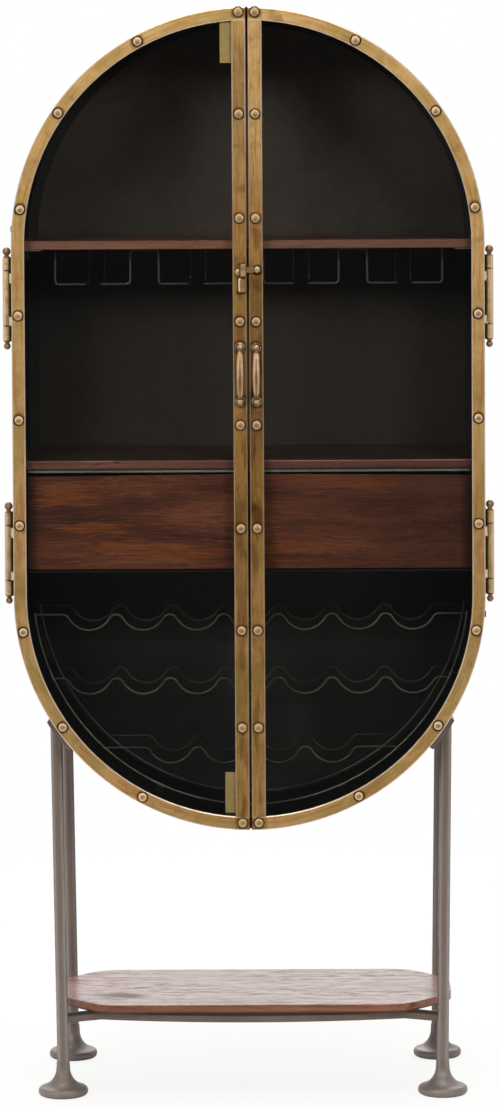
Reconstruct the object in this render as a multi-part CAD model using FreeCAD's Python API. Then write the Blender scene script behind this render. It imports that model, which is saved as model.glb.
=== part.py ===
import FreeCAD, Part
import math
import os

# Capsule-shaped bar cabinet on a four-leg stand.
# Millimetres, +Z up, the doors face -Y, +X to the right when facing the doors.
# Everything is laid out with the front edge of the sheet body at y = 0 and is
# shifted by Y_SHIFT when written, so that the origin is at the centre of the
# footprint, on the floor.

V = FreeCAD.Vector

# ---------------------------------------------------------------- dimensions
R_DOOR = 375.5          # outer radius of the door frames
R_SHELL = 376.5         # outer radius of the sheet body
SHEET = 2.5             # sheet thickness of the body
ZB = 815.0              # centre of the lower half circle
ZT = 1373.5             # centre of the upper half circle
SHELL_DEPTH = 352.0     # body depth, front edge at y = 0
FLANGE_F = 12.0         # width of the front return of the body sheet
FLANGE_R = 16.0         # width of the rear return that carries the back panel

DOOR_F = -22.5          # front face of the door frames
DOOR_B = -1.5           # rear edge of the door frames
FACE_T = 4.0            # thickness of the brass face bar
FACE_W = 20.8           # width of the brass face bar on arcs and outer stiles
STILE_W = 22.25         # width of the meeting stile
RIM_T = 3.0             # thickness of the frame's side wall
GAP = 1.75              # half the gap between the two doors
GLASS_T = 4.0

RIVET_R = 7.6           # radius of the domed rivet heads
RIVET_H = 3.1           # height of the domed rivet heads
RIVET_S = 0.8           # height of the straight side of a rivet head

HINGE_X = 383.5         # hinge axis from the centre plane
HINGE_Y = -7.0          # hinge axis, depth
HINGE_Z = (1292.0, 886.0)
KNUCKLE_R = 6.6
PIN_R = 3.0
RUN = 0.05              # radial running clearance on the hinge pins

SHELF_T = 14.0
TOP_SHELF_Z = 1366.0    # underside of the upper shelf
MID_SHELF_Z = 1015.5    # underside of the middle shelf
SHELF_F = 8.0           # front edge of the inner shelves
SHELF_B = 346.0         # rear edge of the inner shelves

CASE_X = 356.3          # inner half width of the drawer case
CASE_Z0 = 850.0         # underside of the drawer case
CASE_Z1 = 1013.0        # underside of the case's top plate
CASE_T = 2.0
DRAWER_F = 20.0         # front face of the drawers
DRAWER_D = 300.0        # drawer depth

WIRE_R = 2.0            # wire radius of the hangers and the rack's arcs
WAVE_R = 1.8            # wire radius of the rack's waves
HANG_F, HANG_B = 70.0, 180.0   # front and rear of the stemware hangers
HANG_Z = 1309.0         # wire centre of the hangers' lower runs
HANG_C = (-251.0, -84.2, 84.2, 251.0)  # centres of the four stem slots
HANG_IN, HANG_OUT = 12.5, 60.5

RACK_R = 353.0          # centre line radius of the wine rack arcs
RACK_F, RACK_B = 98.0, 233.0   # depth of the front and rear arcs
PITCH = 87.5            # bottle pitch
CRADLE_R = 38.0         # cradle radius of the waves
WAVE_H = 25.5           # wave height
WAVE_Z = (772.0, 668.0, 555.0)  # crest height of the three levels

SADDLE_T = 9.5
SADDLE_A0, SADDLE_A1 = 32.1, 40.9  # angular span below the horizontal
LEG_R = 9.5
LEG_WALL = 1.6
LEG_TOP_X, LEG_BOT_X = 313.5, 306.5
LEG_F, LEG_B = 42.0, 312.0
FOOT_H = 55.0
FOOT_R = 40.0

LOW_Z = 132.5           # underside of the lower shelf
LOW_F, LOW_B = 36.0, 318.0
BAR_T, BAR_H = 4.0, 16.0

HANDLE_X = 12.9
HANDLE_Z = 1167.0
HANDLE_C = 85.0         # screw centres of the bow handles
HANDLE_OUT = 26.0       # projection of the bow

LATCH_Z = 1333.5
LATCH_X = 15.0          # pivot screw on the right door

Y_FRONT = DOOR_F - HANDLE_OUT
Y_REAR = SHELL_DEPTH
Y_SHIFT = -(Y_FRONT + Y_REAR) / 2.0

os.makedirs("parts", exist_ok=True)


# ------------------------------------------------------------------- helpers
def out(name, *shapes):
    solids = []
    for s in shapes:
        solids += s.Solids
    shape = solids[0] if len(solids) == 1 else Part.makeCompound(solids)
    shape = shape.copy()
    shape.translate(V(0, Y_SHIFT, 0))
    bad = [i for i, s in enumerate(shape.Solids) if not s.isValid() or s.Volume <= 0]
    if bad:
        print("INVALID", name, bad)
    shape.exportStep("parts/%s.step" % name)
    print("%-24s solids %2d volume %.1f" % (name, len(shape.Solids), shape.Volume / 1000.0))


def box(x0, x1, y0, y1, z0, z1):
    return Part.makeBox(x1 - x0, y1 - y0, z1 - z0, V(x0, y0, z0))


def capsule(r, y0, y1):
    a, b, c = V(-r, y0, ZB), V(-r, y0, ZT), V(0, y0, ZT + r)
    d, e, f = V(r, y0, ZT), V(r, y0, ZB), V(0, y0, ZB - r)
    w = Part.Wire([
        Part.makeLine(a, b),
        Part.Arc(b, c, d).toShape(),
        Part.makeLine(d, e),
        Part.Arc(e, f, a).toShape(),
    ])
    return Part.Face(w).extrude(V(0, y1 - y0, 0))


def cyl(r, p, d, h):
    return Part.makeCylinder(r, h, V(*p), V(*d))


def hex_head(r, h, p, d):
    """A hexagon head of corner radius r and height h that stands on point p in direction d."""
    pts = [V(r * math.cos(k * math.pi / 3), r * math.sin(k * math.pi / 3), 0) for k in range(6)]
    s = Part.Face(Part.makePolygon(pts + [pts[0]])).extrude(V(0, 0, h))
    s.Placement = FreeCAD.Placement(V(*p), FreeCAD.Rotation(V(0, 0, 1), V(*d)))
    return s


def prism_xy(points, z0, z1):
    pts = [V(x, y, z0) for x, y in points]
    w = Part.makePolygon(pts + [pts[0]])
    return Part.Face(w).extrude(V(0, 0, z1 - z0))


def prism_xz(points, y0, y1):
    pts = [V(x, y0, z) for x, z in points]
    w = Part.makePolygon(pts + [pts[0]])
    return Part.Face(w).extrude(V(0, y1 - y0, 0))


def mirror(s):
    return s.mirror(V(0, 0, 0), V(1, 0, 0))


def revolve_z(profile, x, y, z):
    """profile: list of edges in the XZ plane with x as radius."""
    f = Part.Face(Part.Wire(profile))
    s = f.revolve(V(0, 0, 0), V(0, 0, 1), 360)
    s.translate(V(x, y, z))
    return s


def dome(x, y_face, z, r, h):
    """A domed head whose flat back lies on the plane y = y_face."""
    big = (r * r + h * h) / (2 * h)
    ball = Part.makeSphere(big, V(x, y_face + (big - h), z))
    return ball.common(box(x - r - 1, x + r + 1, y_face - h - 1, y_face, z - r - 1, z + r + 1))


def bent(points, bend):
    """Wire path of straight runs joined by tangent arcs."""
    p = [V(*q) for q in points]
    edges = []
    last = p[0]
    for i in range(1, len(p) - 1):
        a, b, c = p[i - 1], p[i], p[i + 1]
        u = (a - b).normalize()
        w = (c - b).normalize()
        half = math.acos(max(-1, min(1, u.dot(w)))) / 2.0
        t = bend / math.tan(half)
        start, end = b + u * t, b + w * t
        bis = (u + w).normalize()
        centre = b + bis * (bend / math.sin(half))
        mid = centre - bis * bend
        if (start - last).Length > 1e-6:
            edges.append(Part.makeLine(last, start))
        edges.append(Part.Arc(start, mid, end).toShape())
        last = end
    edges.append(Part.makeLine(last, p[-1]))
    return Part.Wire(edges)


def pipe(path, r, start, tangent):
    circle = Part.Wire([Part.makeCircle(r, V(*start), V(*tangent))])
    s = path.makePipeShell([circle], True, False)
    if s.Volume < 0:
        s.reverse()
    want = math.pi * r * r * path.Length
    if abs(s.Volume - want) > 0.03 * want:
        print("PIPE volume", s.Volume, "expected", want)
    return s


# ---------------------------------------------------------------- sheet body
shell = capsule(R_SHELL, 0, SHELL_DEPTH).cut(capsule(R_SHELL - SHEET, -1, SHELL_DEPTH + 1))
front_ret = capsule(R_SHELL - SHEET, 0, SHEET).cut(capsule(R_SHELL - SHEET - FLANGE_F, -1, SHEET + 1))
rear_y = SHELL_DEPTH - 6.0
rear_ret = capsule(R_SHELL - SHEET, rear_y, rear_y + SHEET).cut(
    capsule(R_SHELL - SHEET - FLANGE_R, rear_y - 1, rear_y + SHEET + 1))
band = shell.fuse([front_ret, rear_ret]).removeSplitter()
big = 500.0
out("body_top_arch", band.common(box(-big, big, -5, 400, ZT, 2000)))
out("body_bottom_arch", band.common(box(-big, big, -5, 400, 300, ZB)))
out("body_left_side", band.common(box(-big, 0, -5, 400, ZB, ZT)))
out("body_right_side", band.common(box(0, big, -5, 400, ZB, ZT)))

panel_y = rear_y + SHEET
out("back_panel", capsule(R_SHELL - SHEET - 0.5, panel_y, panel_y + 1.5))

screw_r = R_SHELL - SHEET - FLANGE_R / 2.0
screws = []
for a in (90, 60, 30):
    for s in (-1, 1):
        if a == 90 and s == 1:
            continue
        x = s * screw_r * math.cos(math.radians(a)) if a != 90 else 0.0
        dz = screw_r * math.sin(math.radians(a))
        for zc, sg in ((ZT, 1), (ZB, -1)):
            screws.append((x, zc + sg * dz))
for z in (ZT - 20, (ZT + ZB) / 2.0, ZB + 20):
    for s in (-1, 1):
        screws.append((s * screw_r, z))
heads = []
for x, z in screws:
    heads.append(hex_head(4.6, 2.2, (x, panel_y + 1.5, z), (0, 1, 0)))
# two hexagon heads that stand out of the body's sides
for s, z in ((-1, 1399.0), (1, 780.0)):
    dz = z - (ZT if s < 0 else ZB)
    x = math.sqrt(R_SHELL ** 2 - dz ** 2)
    head = hex_head(5.2, 4.6, (s * (x - 2.2), 12, z), (s, 0, 0))
    heads.append(head.cut(capsule(R_SHELL, -5, 60)))
out("body_screws", *heads)

# magnet catches under the crown and in the keel, behind the left door
mags = []
for z0, z1 in ((1690.0, 1800.0), (400.0, 502.0)):
    m = box(-41, -24, -10.2, 18, z0, z1).common(capsule(R_SHELL - SHEET, -60, 60))
    m = m.cut(capsule(R_SHELL, 0, SHEET + 0.01).cut(capsule(R_SHELL - SHEET - FLANGE_F, -1, SHEET + 1)))
    # the part in front of the body's front return stays inside it
    keep = capsule(R_SHELL - SHEET - FLANGE_F, -60, SHEET + 0.01).fuse(capsule(R_SHELL - SHEET, SHEET, 60))
    m = m.common(keep)
    mags.append(m)
out("magnet_catches", *mags)

# ------------------------------------------------------------ inner fittings
INNER = R_SHELL - SHEET


def shelf(z):
    s = box(-INNER, INNER, SHELF_F, SHELF_B, z, z + SHELF_T - (0.5 if z < 1100 else 0))
    s = s.common(capsule(INNER - 0.2, 0, 400))
    edges = [e for e in s.Edges
             if all(abs(v.Y - SHELF_F) < 1e-6 for v in e.Vertexes) and abs(e.Length) > 300
             and all(abs(v.Z - e.Vertexes[0].Z) < 1e-6 for v in e.Vertexes)]
    return s.makeFillet(1.2, edges)


out("top_shelf", shelf(TOP_SHELF_Z))
out("middle_shelf", shelf(MID_SHELF_Z))

cleats = []
for s in (-1, 1):
    c = box(330, INNER, 12, 340, TOP_SHELF_Z - 2, TOP_SHELF_Z).fuse(
        box(INNER - 2, INNER, 12, 340, TOP_SHELF_Z - 22, TOP_SHELF_Z))
    c = c.removeSplitter()
    cleats.append(c if s > 0 else mirror(c))
out("top_shelf_cleats", *cleats)

# drawer case: top plate with a front lip, a folded tray and a centre divider
top = box(-INNER, INNER, 9, SHELF_B, CASE_Z1, MID_SHELF_Z).fuse(
    box(-CASE_X + 3, CASE_X - 3, 9, 11, CASE_Z1 - 3.4, CASE_Z1))
out("drawer_case_top", top.removeSplitter())

fold = 4.0
o = box(-CASE_X - CASE_T, CASE_X + CASE_T, 9, SHELF_B, CASE_Z0, CASE_Z1 + 30)
oe = [e for e in o.Edges if abs(e.Length - (SHELF_B - 9)) < 1e-6 and abs(e.Vertexes[0].Z - CASE_Z0) < 1e-6]
o = o.makeFillet(fold + CASE_T, oe)
i = box(-CASE_X, CASE_X, 0, 400, CASE_Z0 + CASE_T, CASE_Z1 + 40)
ie = [e for e in i.Edges if abs(e.Length - 400) < 1e-6 and abs(e.Vertexes[0].Z - CASE_Z0 - CASE_T) < 1e-6]
i = i.makeFillet(fold, ie)
tray = o.cut(i).common(box(-400, 400, 0, 400, CASE_Z0 - 5, CASE_Z1))
out("drawer_case_tray", tray)
out("drawer_case_divider", box(-1, 1, 12, SHELF_B, CASE_Z0 + CASE_T, CASE_Z1))


# drawers: front, folded side-and-back frame, bottom
def drawer_front():
    x0, x1 = 2.5, CASE_X - 1.5
    z0, z1 = CASE_Z0 + CASE_T + 1.5, 1006.0
    s = prism_xz([(x0, z0), (x1, z0), (x1, z1 - 3.5), (x0, z1)], DRAWER_F, DRAWER_F + 18)
    e = [k for k in s.Edges if all(abs(v.X - x1) < 1e-6 and abs(v.Z - z0) < 1e-6 for v in k.Vertexes)]
    s = s.makeFillet(3.0, e)
    front = [k for k in s.Edges if all(abs(v.Y - DRAWER_F) < 1e-6 for v in k.Vertexes)]
    return s.makeFillet(0.8, front)


def drawer_frame():
    x0, x1 = 6.0, 342.0
    y0, y1 = DRAWER_F + 18, DRAWER_F + DRAWER_D
    z0, z1 = CASE_Z0 + CASE_T + 0.6, 985.0
    a = box(x0, x0 + 10, y0, y1, z0, z1)
    b = box(x1 - 10, x1, y0, y1, z0, z1)
    c = box(x0 + 10, x1 - 10, y1 - 10, y1, z0 + 12, z1)
    s = a.fuse([b, c]).removeSplitter()
    return s


def drawer_bottom():
    return box(16, 332, DRAWER_F + 18, DRAWER_F + DRAWER_D - 10, CASE_Z0 + CASE_T + 6, CASE_Z0 + CASE_T + 12)


for name, f in (("right", lambda s: s), ("left", mirror)):
    out(name + "_drawer_front", f(drawer_front()))
    out(name + "_drawer_frame", f(drawer_frame()))
    out(name + "_drawer_bottom", f(drawer_bottom()))

# --------------------------------------------------------- stemware hangers
zt = TOP_SHELF_Z - WIRE_R
bend = 6.0


def hanger_between(ca, cb):
    ai, ao = ca + HANG_IN, ca + HANG_OUT
    bi, bo = cb - HANG_IN, cb - HANG_OUT
    pts = [
        (ai, HANG_B, TOP_SHELF_Z), (ai, HANG_B, HANG_Z), (ai, HANG_F, HANG_Z), (ao, HANG_F, HANG_Z),
        (ao, HANG_F, zt), (bo, HANG_F, zt), (bo, HANG_F, HANG_Z), (bi, HANG_F, HANG_Z),
        (bi, HANG_B, HANG_Z), (bi, HANG_B, TOP_SHELF_Z),
    ]
    return pipe(bent(pts, bend), WIRE_R, pts[0], (0, 0, -1))


def hanger_end(c, s):
    """The outer hanger next to a side wall, s = -1 on the left."""
    ai, ao = c + s * HANG_IN, c + s * HANG_OUT
    pts = [
        (ai, HANG_B, TOP_SHELF_Z), (ai, HANG_B, HANG_Z), (ai, HANG_F, HANG_Z), (ao, HANG_F, HANG_Z),
        (ao, HANG_F, TOP_SHELF_Z),
    ]
    return pipe(bent(pts, bend), WIRE_R, pts[0], (0, 0, -1))


out("stem_hanger_left", hanger_between(HANG_C[0], HANG_C[1]))
out("stem_hanger_middle", hanger_between(HANG_C[1], HANG_C[2]))
out("stem_hanger_right", hanger_between(HANG_C[2], HANG_C[3]))
out("stem_hanger_ends", hanger_end(HANG_C[0], -1), hanger_end(HANG_C[3], 1))

# ---------------------------------------------------------------- wine rack
# A wave is cradle arcs and narrower crest arcs that meet at one slope.
PHI = 2 * math.atan(WAVE_H / 2.0 / (PITCH / 4.0))
CREST_R = PITCH / 2.0 / math.sin(PHI) - CRADLE_R


def wave_path(y, crest, troughs, x_end):
    """Troughs are x positions; the ends run flat at crest height to +-x_end."""
    low = crest - WAVE_H
    sx, hx = CRADLE_R * math.sin(PHI), CREST_R * math.sin(PHI)
    edges = []
    first, last = troughs[0], troughs[-1]
    x = first - sx - hx
    edges.append(Part.makeLine(V(-x_end, y, crest), V(x, y, crest)))

    def crest_down(xc):
        a, b = math.radians(90), math.radians(90) - PHI
        return Part.Arc(
            V(xc, y, crest),
            V(xc + CREST_R * math.cos((a + b) / 2), y, crest - CREST_R + CREST_R * math.sin((a + b) / 2)),
            V(xc + CREST_R * math.cos(b), y, crest - CREST_R + CREST_R * math.sin(b))).toShape()

    def crest_up(xc):
        a, b = math.radians(90) + PHI, math.radians(90)
        return Part.Arc(
            V(xc + CREST_R * math.cos(a), y, crest - CREST_R + CREST_R * math.sin(a)),
            V(xc + CREST_R * math.cos((a + b) / 2), y, crest - CREST_R + CREST_R * math.sin((a + b) / 2)),
            V(xc, y, crest)).toShape()

    def trough(xc):
        zc = low + CRADLE_R
        a = math.radians(-90) - PHI
        b = math.radians(-90) + PHI
        return Part.Arc(
            V(xc + CRADLE_R * math.cos(a), y, zc + CRADLE_R * math.sin(a)),
            V(xc, y, low),
            V(xc + CRADLE_R * math.cos(b), y, zc + CRADLE_R * math.sin(b))).toShape()

    for t in troughs:
        edges.append(crest_down(t - sx - hx))
        edges.append(trough(t))
        edges.append(crest_up(t + sx + hx))
    edges.append(Part.makeLine(V(last + sx + hx, y, crest), V(x_end, y, crest)))
    return Part.Wire(edges)


LEVELS = (
    (WAVE_Z[0], [k * PITCH for k in (-3, -2, -1, 0, 1, 2, 3)]),
    (WAVE_Z[1], [k * PITCH for k in (-3, -2, -1, 0, 1, 2, 3)]),
    (WAVE_Z[2], [k * PITCH for k in (-1.5, -0.5, 0.5, 1.5)]),
)


def arc_wire(y):
    """Half-round support wire with its two ends level with the upper wave, and two lugs to the body."""
    a0 = math.asin((ZB - (WAVE_Z[0] + 3.0)) / RACK_R)
    p0 = V(-RACK_R * math.cos(a0), y, ZB - RACK_R * math.sin(a0))
    p2 = V(RACK_R * math.cos(a0), y, ZB - RACK_R * math.sin(a0))
    path = Part.Wire([Part.Arc(p0, V(0, y, ZB - RACK_R), p2).toShape()])
    t = V(math.sin(a0), 0, -math.cos(a0))
    circle = Part.Wire([Part.makeCircle(WIRE_R, p0, V(-math.sin(a0), 0, -math.cos(a0)))])
    s = path.makePipeShell([circle], True, False)
    if s.Volume < 0:
        s.reverse()
    # lugs from the wire out to the sheet
    for sg in (-1, 1):
        for ang in (24.5, 66.0):
            lug = box(-6.5, 6.5, y - 1.5, y + 1.5, -INNER, -RACK_R + 1.5)
            lug.rotate(V(0, 0, 0), V(0, 1, 0), sg * ang)
            lug.translate(V(0, 0, ZB))
            lug = lug.common(capsule(INNER, 0, 400))
            s = s.fuse(lug)
    return s.removeSplitter()


def waves(y):
    res = []
    for crest, troughs in LEVELS:
        reach = math.sqrt(RACK_R ** 2 - (ZB - crest) ** 2)
        path = wave_path(y, crest, troughs, reach)
        s = pipe(path, WAVE_R, (-reach, y, crest), (1, 0, 0))
        # the wave ends where it meets the arc wire
        s = s.common(box(-reach + 2.0, reach - 2.0, y - 10, y + 10, crest - 60, crest + 20))
        res.append(s)
    return res


out("wine_arc_front", arc_wire(RACK_F))
out("wine_arc_rear", arc_wire(RACK_B))
out("wine_waves_front", *waves(RACK_F))
out("wine_waves_rear", *waves(RACK_B))

# ------------------------------------------------------------------- stand
R_SAD = R_SHELL + SADDLE_T


def saddle(sg):
    ring = Part.makeCylinder(R_SAD, 336, V(0, 8, ZB), V(0, 1, 0)).cut(
        Part.makeCylinder(R_SHELL, 340, V(0, 6, ZB), V(0, 1, 0)))
    a0, a1 = math.radians(SADDLE_A0), math.radians(SADDLE_A1)
    w = 600.0
    wedge = prism_xz([(0, ZB), (w * math.cos(a0), ZB - w * math.sin(a0)),
                      (w * math.cos(a1), ZB - w * math.sin(a1))], 0, 400)
    s = ring.common(wedge)
    long_edges = [e for e in s.Edges if abs(e.Length - 336) < 1.0
                  and abs(math.hypot(e.Vertexes[0].X, e.Vertexes[0].Z - ZB) - R_SAD) < 0.01]
    s = s.makeFillet(3.0, long_edges)
    return s if sg > 0 else mirror(s)


out("saddle_left", saddle(-1))
out("saddle_right", saddle(1))


def leg(sg, y):
    z0, z1 = FOOT_H, 640.0
    slope = (LEG_TOP_X - LEG_BOT_X) / (600.0 - FOOT_H)
    d = V(slope, 0, 1)
    base = V(LEG_BOT_X - slope * 20, y, z0 - 20)
    ln = (z1 - z0 + 30) * math.sqrt(1 + slope * slope)
    s = Part.makeCylinder(LEG_R, ln, base, d).cut(Part.makeCylinder(LEG_R - LEG_WALL, ln + 10, base - d * 2, d))
    s = s.common(box(200, 400, 0, 400, z0, 700))
    s = s.cut(Part.makeCylinder(R_SAD, 500, V(0, -50, ZB), V(0, 1, 0)))
    parts = sorted(s.Solids, key=lambda q: q.Volume)
    s = parts[-1]
    return s if sg > 0 else mirror(s)


def leg_solid(sg, y):
    slope = (LEG_TOP_X - LEG_BOT_X) / (600.0 - FOOT_H)
    d = V(slope, 0, 1)
    s = Part.makeCylinder(LEG_R, 700, V(LEG_BOT_X - slope * 60, y, FOOT_H - 60), d)
    return s if sg > 0 else mirror(s)


out("leg_front_left", leg(-1, LEG_F))
out("leg_front_right", leg(1, LEG_F))
out("leg_rear_left", leg(-1, LEG_B))
out("leg_rear_right", leg(1, LEG_B))


def foot(sg, y):
    def P(r, z):
        return V(r, 0, z)
    prof = [
        Part.makeLine(P(0, 0), P(34, 0)),
        Part.Arc(P(34, 0), P(38.6, 2.4), P(FOOT_R, 7.0)).toShape(),
        Part.Arc(P(FOOT_R, 7.0), P(38.6, 11.4), P(34.5, 14.0)).toShape(),
        Part.Arc(P(34.5, 14.0), P(18.8, 23.6), P(11.2, 41.0)).toShape(),
        Part.makeLine(P(11.2, 41.0), P(10.4, FOOT_H - 1.0)),
        Part.makeLine(P(10.4, FOOT_H - 1.0), P(9.6, FOOT_H)),
        Part.makeLine(P(9.6, FOOT_H), P(0, FOOT_H)),
        Part.makeLine(P(0, FOOT_H), P(0, 0)),
    ]
    return revolve_z(prof, sg * LEG_BOT_X, y, 0)


out("feet_front", foot(-1, LEG_F), foot(1, LEG_F))
out("feet_rear", foot(-1, LEG_B), foot(1, LEG_B))

# lower shelf with clipped, softened corners
mid = (LOW_F + LOW_B) / 2.0
poly = [(-247, LOW_F), (247, LOW_F), (324.5, LOW_F + 90), (324.5, LOW_B - 82),
        (260, LOW_B), (-260, LOW_B), (-324.5, LOW_B - 82), (-324.5, LOW_F + 90)]
low = prism_xy(poly, LOW_Z, LOW_Z + SHELF_T - 0.5)
vert = [e for e in low.Edges if abs(e.Vertexes[0].Z - e.Vertexes[-1].Z) > 5]
low = low.makeFillet(78.0, vert)
rim = [e for e in low.Edges if all(abs(v.Z - (LOW_Z + SHELF_T - 0.5)) < 1e-6 for v in e.Vertexes)]
low = low.makeFillet(1.5, rim)
out("lower_shelf", low)

# bowed flat-bar stretchers under the shelf
bx, by = 246.0, 26.0
bow_r = (bx * bx + by * by) / (2 * by)


def stretcher(y_leg, toward):
    """toward = +1: the struts run back from the front legs; -1: forward from the rear legs."""
    cy = y_leg + toward * bow_r
    z0, z1 = LOW_Z - BAR_H, LOW_Z
    ring = Part.makeCylinder(bow_r + BAR_T / 2, BAR_H, V(0, cy, z0)).cut(
        Part.makeCylinder(bow_r - BAR_T / 2, BAR_H + 2, V(0, cy, z0 - 1)))
    ya, yb = sorted((y_leg - toward * 10, y_leg + toward * (by + 6)))
    s = ring.common(box(-bx, bx, ya, yb, z0, z1))
    z_mid = (z0 + z1) / 2
    slope = (LEG_TOP_X - LEG_BOT_X) / (600.0 - FOOT_H)
    lx = LEG_BOT_X + slope * (z_mid - FOOT_H)
    dx, dy = lx - bx, -toward * by
    ln = math.hypot(dx, dy)
    nx, ny = -dy / ln * BAR_T / 2, dx / ln * BAR_T / 2
    ex, ey = bx - dx / ln * 1.0, y_leg + toward * by - dy / ln * 1.0
    strut = prism_xy([(ex + nx, ey + ny), (lx + nx, y_leg + ny), (lx - nx, y_leg - ny), (ex - nx, ey - ny)], z0, z1)
    s = s.fuse([strut, mirror(strut)])
    s = s.cut(leg_solid(1, y_leg)).cut(leg_solid(-1, y_leg))
    s = s.removeSplitter()
    parts = sorted(s.Solids, key=lambda q: q.Volume)
    return parts[-1]


out("stretcher_front", stretcher(LEG_F, 1))
out("stretcher_rear", stretcher(LEG_B, -1))

# wood screws with washers, up through small lugs on the stretchers into the shelf
low_screws = []
for y, t in ((LEG_F, 1), (LEG_B, -1)):
    for x in (-150.0, 150.0):
        yc = y + t * (bow_r - math.sqrt(bow_r ** 2 - x * x)) + t * (BAR_T / 2 + 9)
        tab = box(x - 9, x + 9, yc - 9.5, yc + 9.5, LOW_Z - 3, LOW_Z)
        tab = tab.common(box(x - 9, x + 9, yc - 9.0 - (0 if t > 0 else 0.5), yc + 9.0 + (0 if t < 0 else 0.5), 0, 500))
        ring_o = Part.makeCylinder(bow_r + BAR_T / 2, 60, V(0, y + t * bow_r, 100))
        ring_i = Part.makeCylinder(bow_r - BAR_T / 2, 60, V(0, y + t * bow_r, 100))
        tab = tab.common(ring_i)
        head = Part.Face(Part.Wire([
            Part.makeLine(V(0, 0, -3.0), V(2.2, 0, -3.0)),
            Part.Arc(V(2.2, 0, -3.0), V(4.4, 0, -2.0), V(5.2, 0, 0)).toShape(),
            Part.makeLine(V(5.2, 0, 0), V(0, 0, 0)),
            Part.makeLine(V(0, 0, 0), V(0, 0, -3.0))])).revolve(V(0, 0, 0), V(0, 0, 1), 360)
        head.translate(V(x, yc, LOW_Z - 3))
        low_screws.append(tab.fuse(head).removeSplitter())
out("lower_shelf_fixings", *low_screws)

# ------------------------------------------------------------------- hinges
K0, K1, K2, K3 = -71.0, -46.3, 41.5, 63.2   # knuckle limits from the hinge centre
AXG = 0.2


def body_leaf(z, sg):
    parts = []
    for a, b in ((K0, K1 - AXG), (K2 + AXG, K3)):
        k = Part.makeCylinder(KNUCKLE_R, b - a, V(-HINGE_X, HINGE_Y, z + a))
        plate = prism_xy([
            (-HINGE_X + 4.2, HINGE_Y), (-R_SHELL, HINGE_Y), (-R_SHELL, 40.0),
            (-R_SHELL - 2.8, 40.0), (-R_SHELL - 2.8, HINGE_Y + 4.0)], z + a, z + b)
        s = k.fuse(plate)
        s = s.cut(capsule(R_SHELL, -60, 60))
        s = s.cut(Part.makeCylinder(PIN_R + RUN, 400, V(-HINGE_X, HINGE_Y, z - 200)))
        s = s.removeSplitter()
        parts.append(s if sg < 0 else mirror(s))
    return parts


def hinge_pin(z, sg):
    def P(r, zz):
        return V(r, 0, zz)
    prof = [
        Part.makeLine(P(0, K0 - 13.0), P(1.6, K0 - 13.0)),
        Part.Arc(P(1.6, K0 - 13.0), P(5.5, K0 - 7.6), P(3.2, K0 - 3.0)).toShape(),
        Part.makeLine(P(3.2, K0 - 3.0), P(3.2, K0 - 2.2)),
        Part.makeLine(P(3.2, K0 - 2.2), P(4.8, K0 - 1.4)),
        Part.makeLine(P(4.8, K0 - 1.4), P(4.8, K0 - 0.3)),
        Part.makeLine(P(4.8, K0 - 0.3), P(PIN_R, K0 - 0.3)),
        Part.makeLine(P(PIN_R, K0 - 0.3), P(PIN_R, K3 + 0.3)),
        Part.makeLine(P(PIN_R, K3 + 0.3), P(5.0, K3 + 0.3)),
        Part.makeLine(P(5.0, K3 + 0.3), P(4.6, K3 + 1.4)),
        Part.makeLine(P(4.6, K3 + 1.4), P(3.4, K3 + 2.0)),
        Part.makeLine(P(3.4, K3 + 2.0), P(3.4, K3 + 3.0)),
        Part.Arc(P(3.4, K3 + 3.0), P(6.6, K3 + 8.9), P(1.5, K3 + 15.2)).toShape(),
        Part.makeLine(P(1.5, K3 + 15.2), P(0, K3 + 15.2)),
        Part.makeLine(P(0, K3 + 15.2), P(0, K0 - 13.0)),
    ]
    return revolve_z(prof, sg * HINGE_X, HINGE_Y, z)


leaves, pins = [], []
for sg in (-1, 1):
    for z in HINGE_Z:
        leaves += body_leaf(z, sg)
        pins.append(hinge_pin(z, sg))
out("hinge_leaves", *leaves)
out("hinge_pins", *pins)


def door_knuckles():
    parts = []
    for z in HINGE_Z:
        k = Part.makeCylinder(KNUCKLE_R, K2 - K1, V(-HINGE_X, HINGE_Y, z + K1))
        for a, b in ((21.5, 36.7), (-45.5, -32.7)):
            k = k.fuse(box(-HINGE_X, -R_DOOR, HINGE_Y - 4.2, HINGE_Y + 4.2, z + a, z + b))
        k = k.fuse(box(-HINGE_X, -R_DOOR, HINGE_Y + 1.0, HINGE_Y + 3.4, z + K1, z + K2))
        k = k.cut(Part.makeCylinder(PIN_R + RUN, 400, V(-HINGE_X, HINGE_Y, z - 200)))
        parts.append(k.removeSplitter())
    return parts


# -------------------------------------------------------------------- doors
def half(r_out, x_edge, y0, y1):
    """Left half of a capsule, out to radius r_out and in to x = -x_edge."""
    return capsule(r_out, y0, y1).common(box(-500, -x_edge, y0 - 1, y1 + 1, 200, 2000))


def door_face():
    s = half(R_DOOR, GAP, DOOR_F, DOOR_F + FACE_T).cut(
        half(R_DOOR - FACE_W, GAP + STILE_W, DOOR_F - 1, DOOR_F + FACE_T + 1))
    front = [e for e in s.Edges if all(abs(v.Y - DOOR_F) < 1e-6 for v in e.Vertexes)]
    return s.makeChamfer(1.5, front)


def door_rim():
    y0 = DOOR_F + FACE_T
    return half(R_DOOR, GAP, y0, DOOR_B).cut(
        half(R_DOOR - RIM_T, GAP + RIM_T, y0 - 1, DOOR_B + 1))


def door_glass():
    y0 = DOOR_F + FACE_T
    return half(R_DOOR - RIM_T - 1.5, GAP + RIM_T + 1.5, y0, y0 + GLASS_T)


def door_retainer():
    y0 = DOOR_F + FACE_T + GLASS_T
    return half(R_DOOR - RIM_T, GAP + RIM_T, y0, y0 + 2.0).cut(
        half(R_DOOR - FACE_W + 3.0, GAP + STILE_W - 3.0, y0 - 1, y0 + 3))


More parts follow.
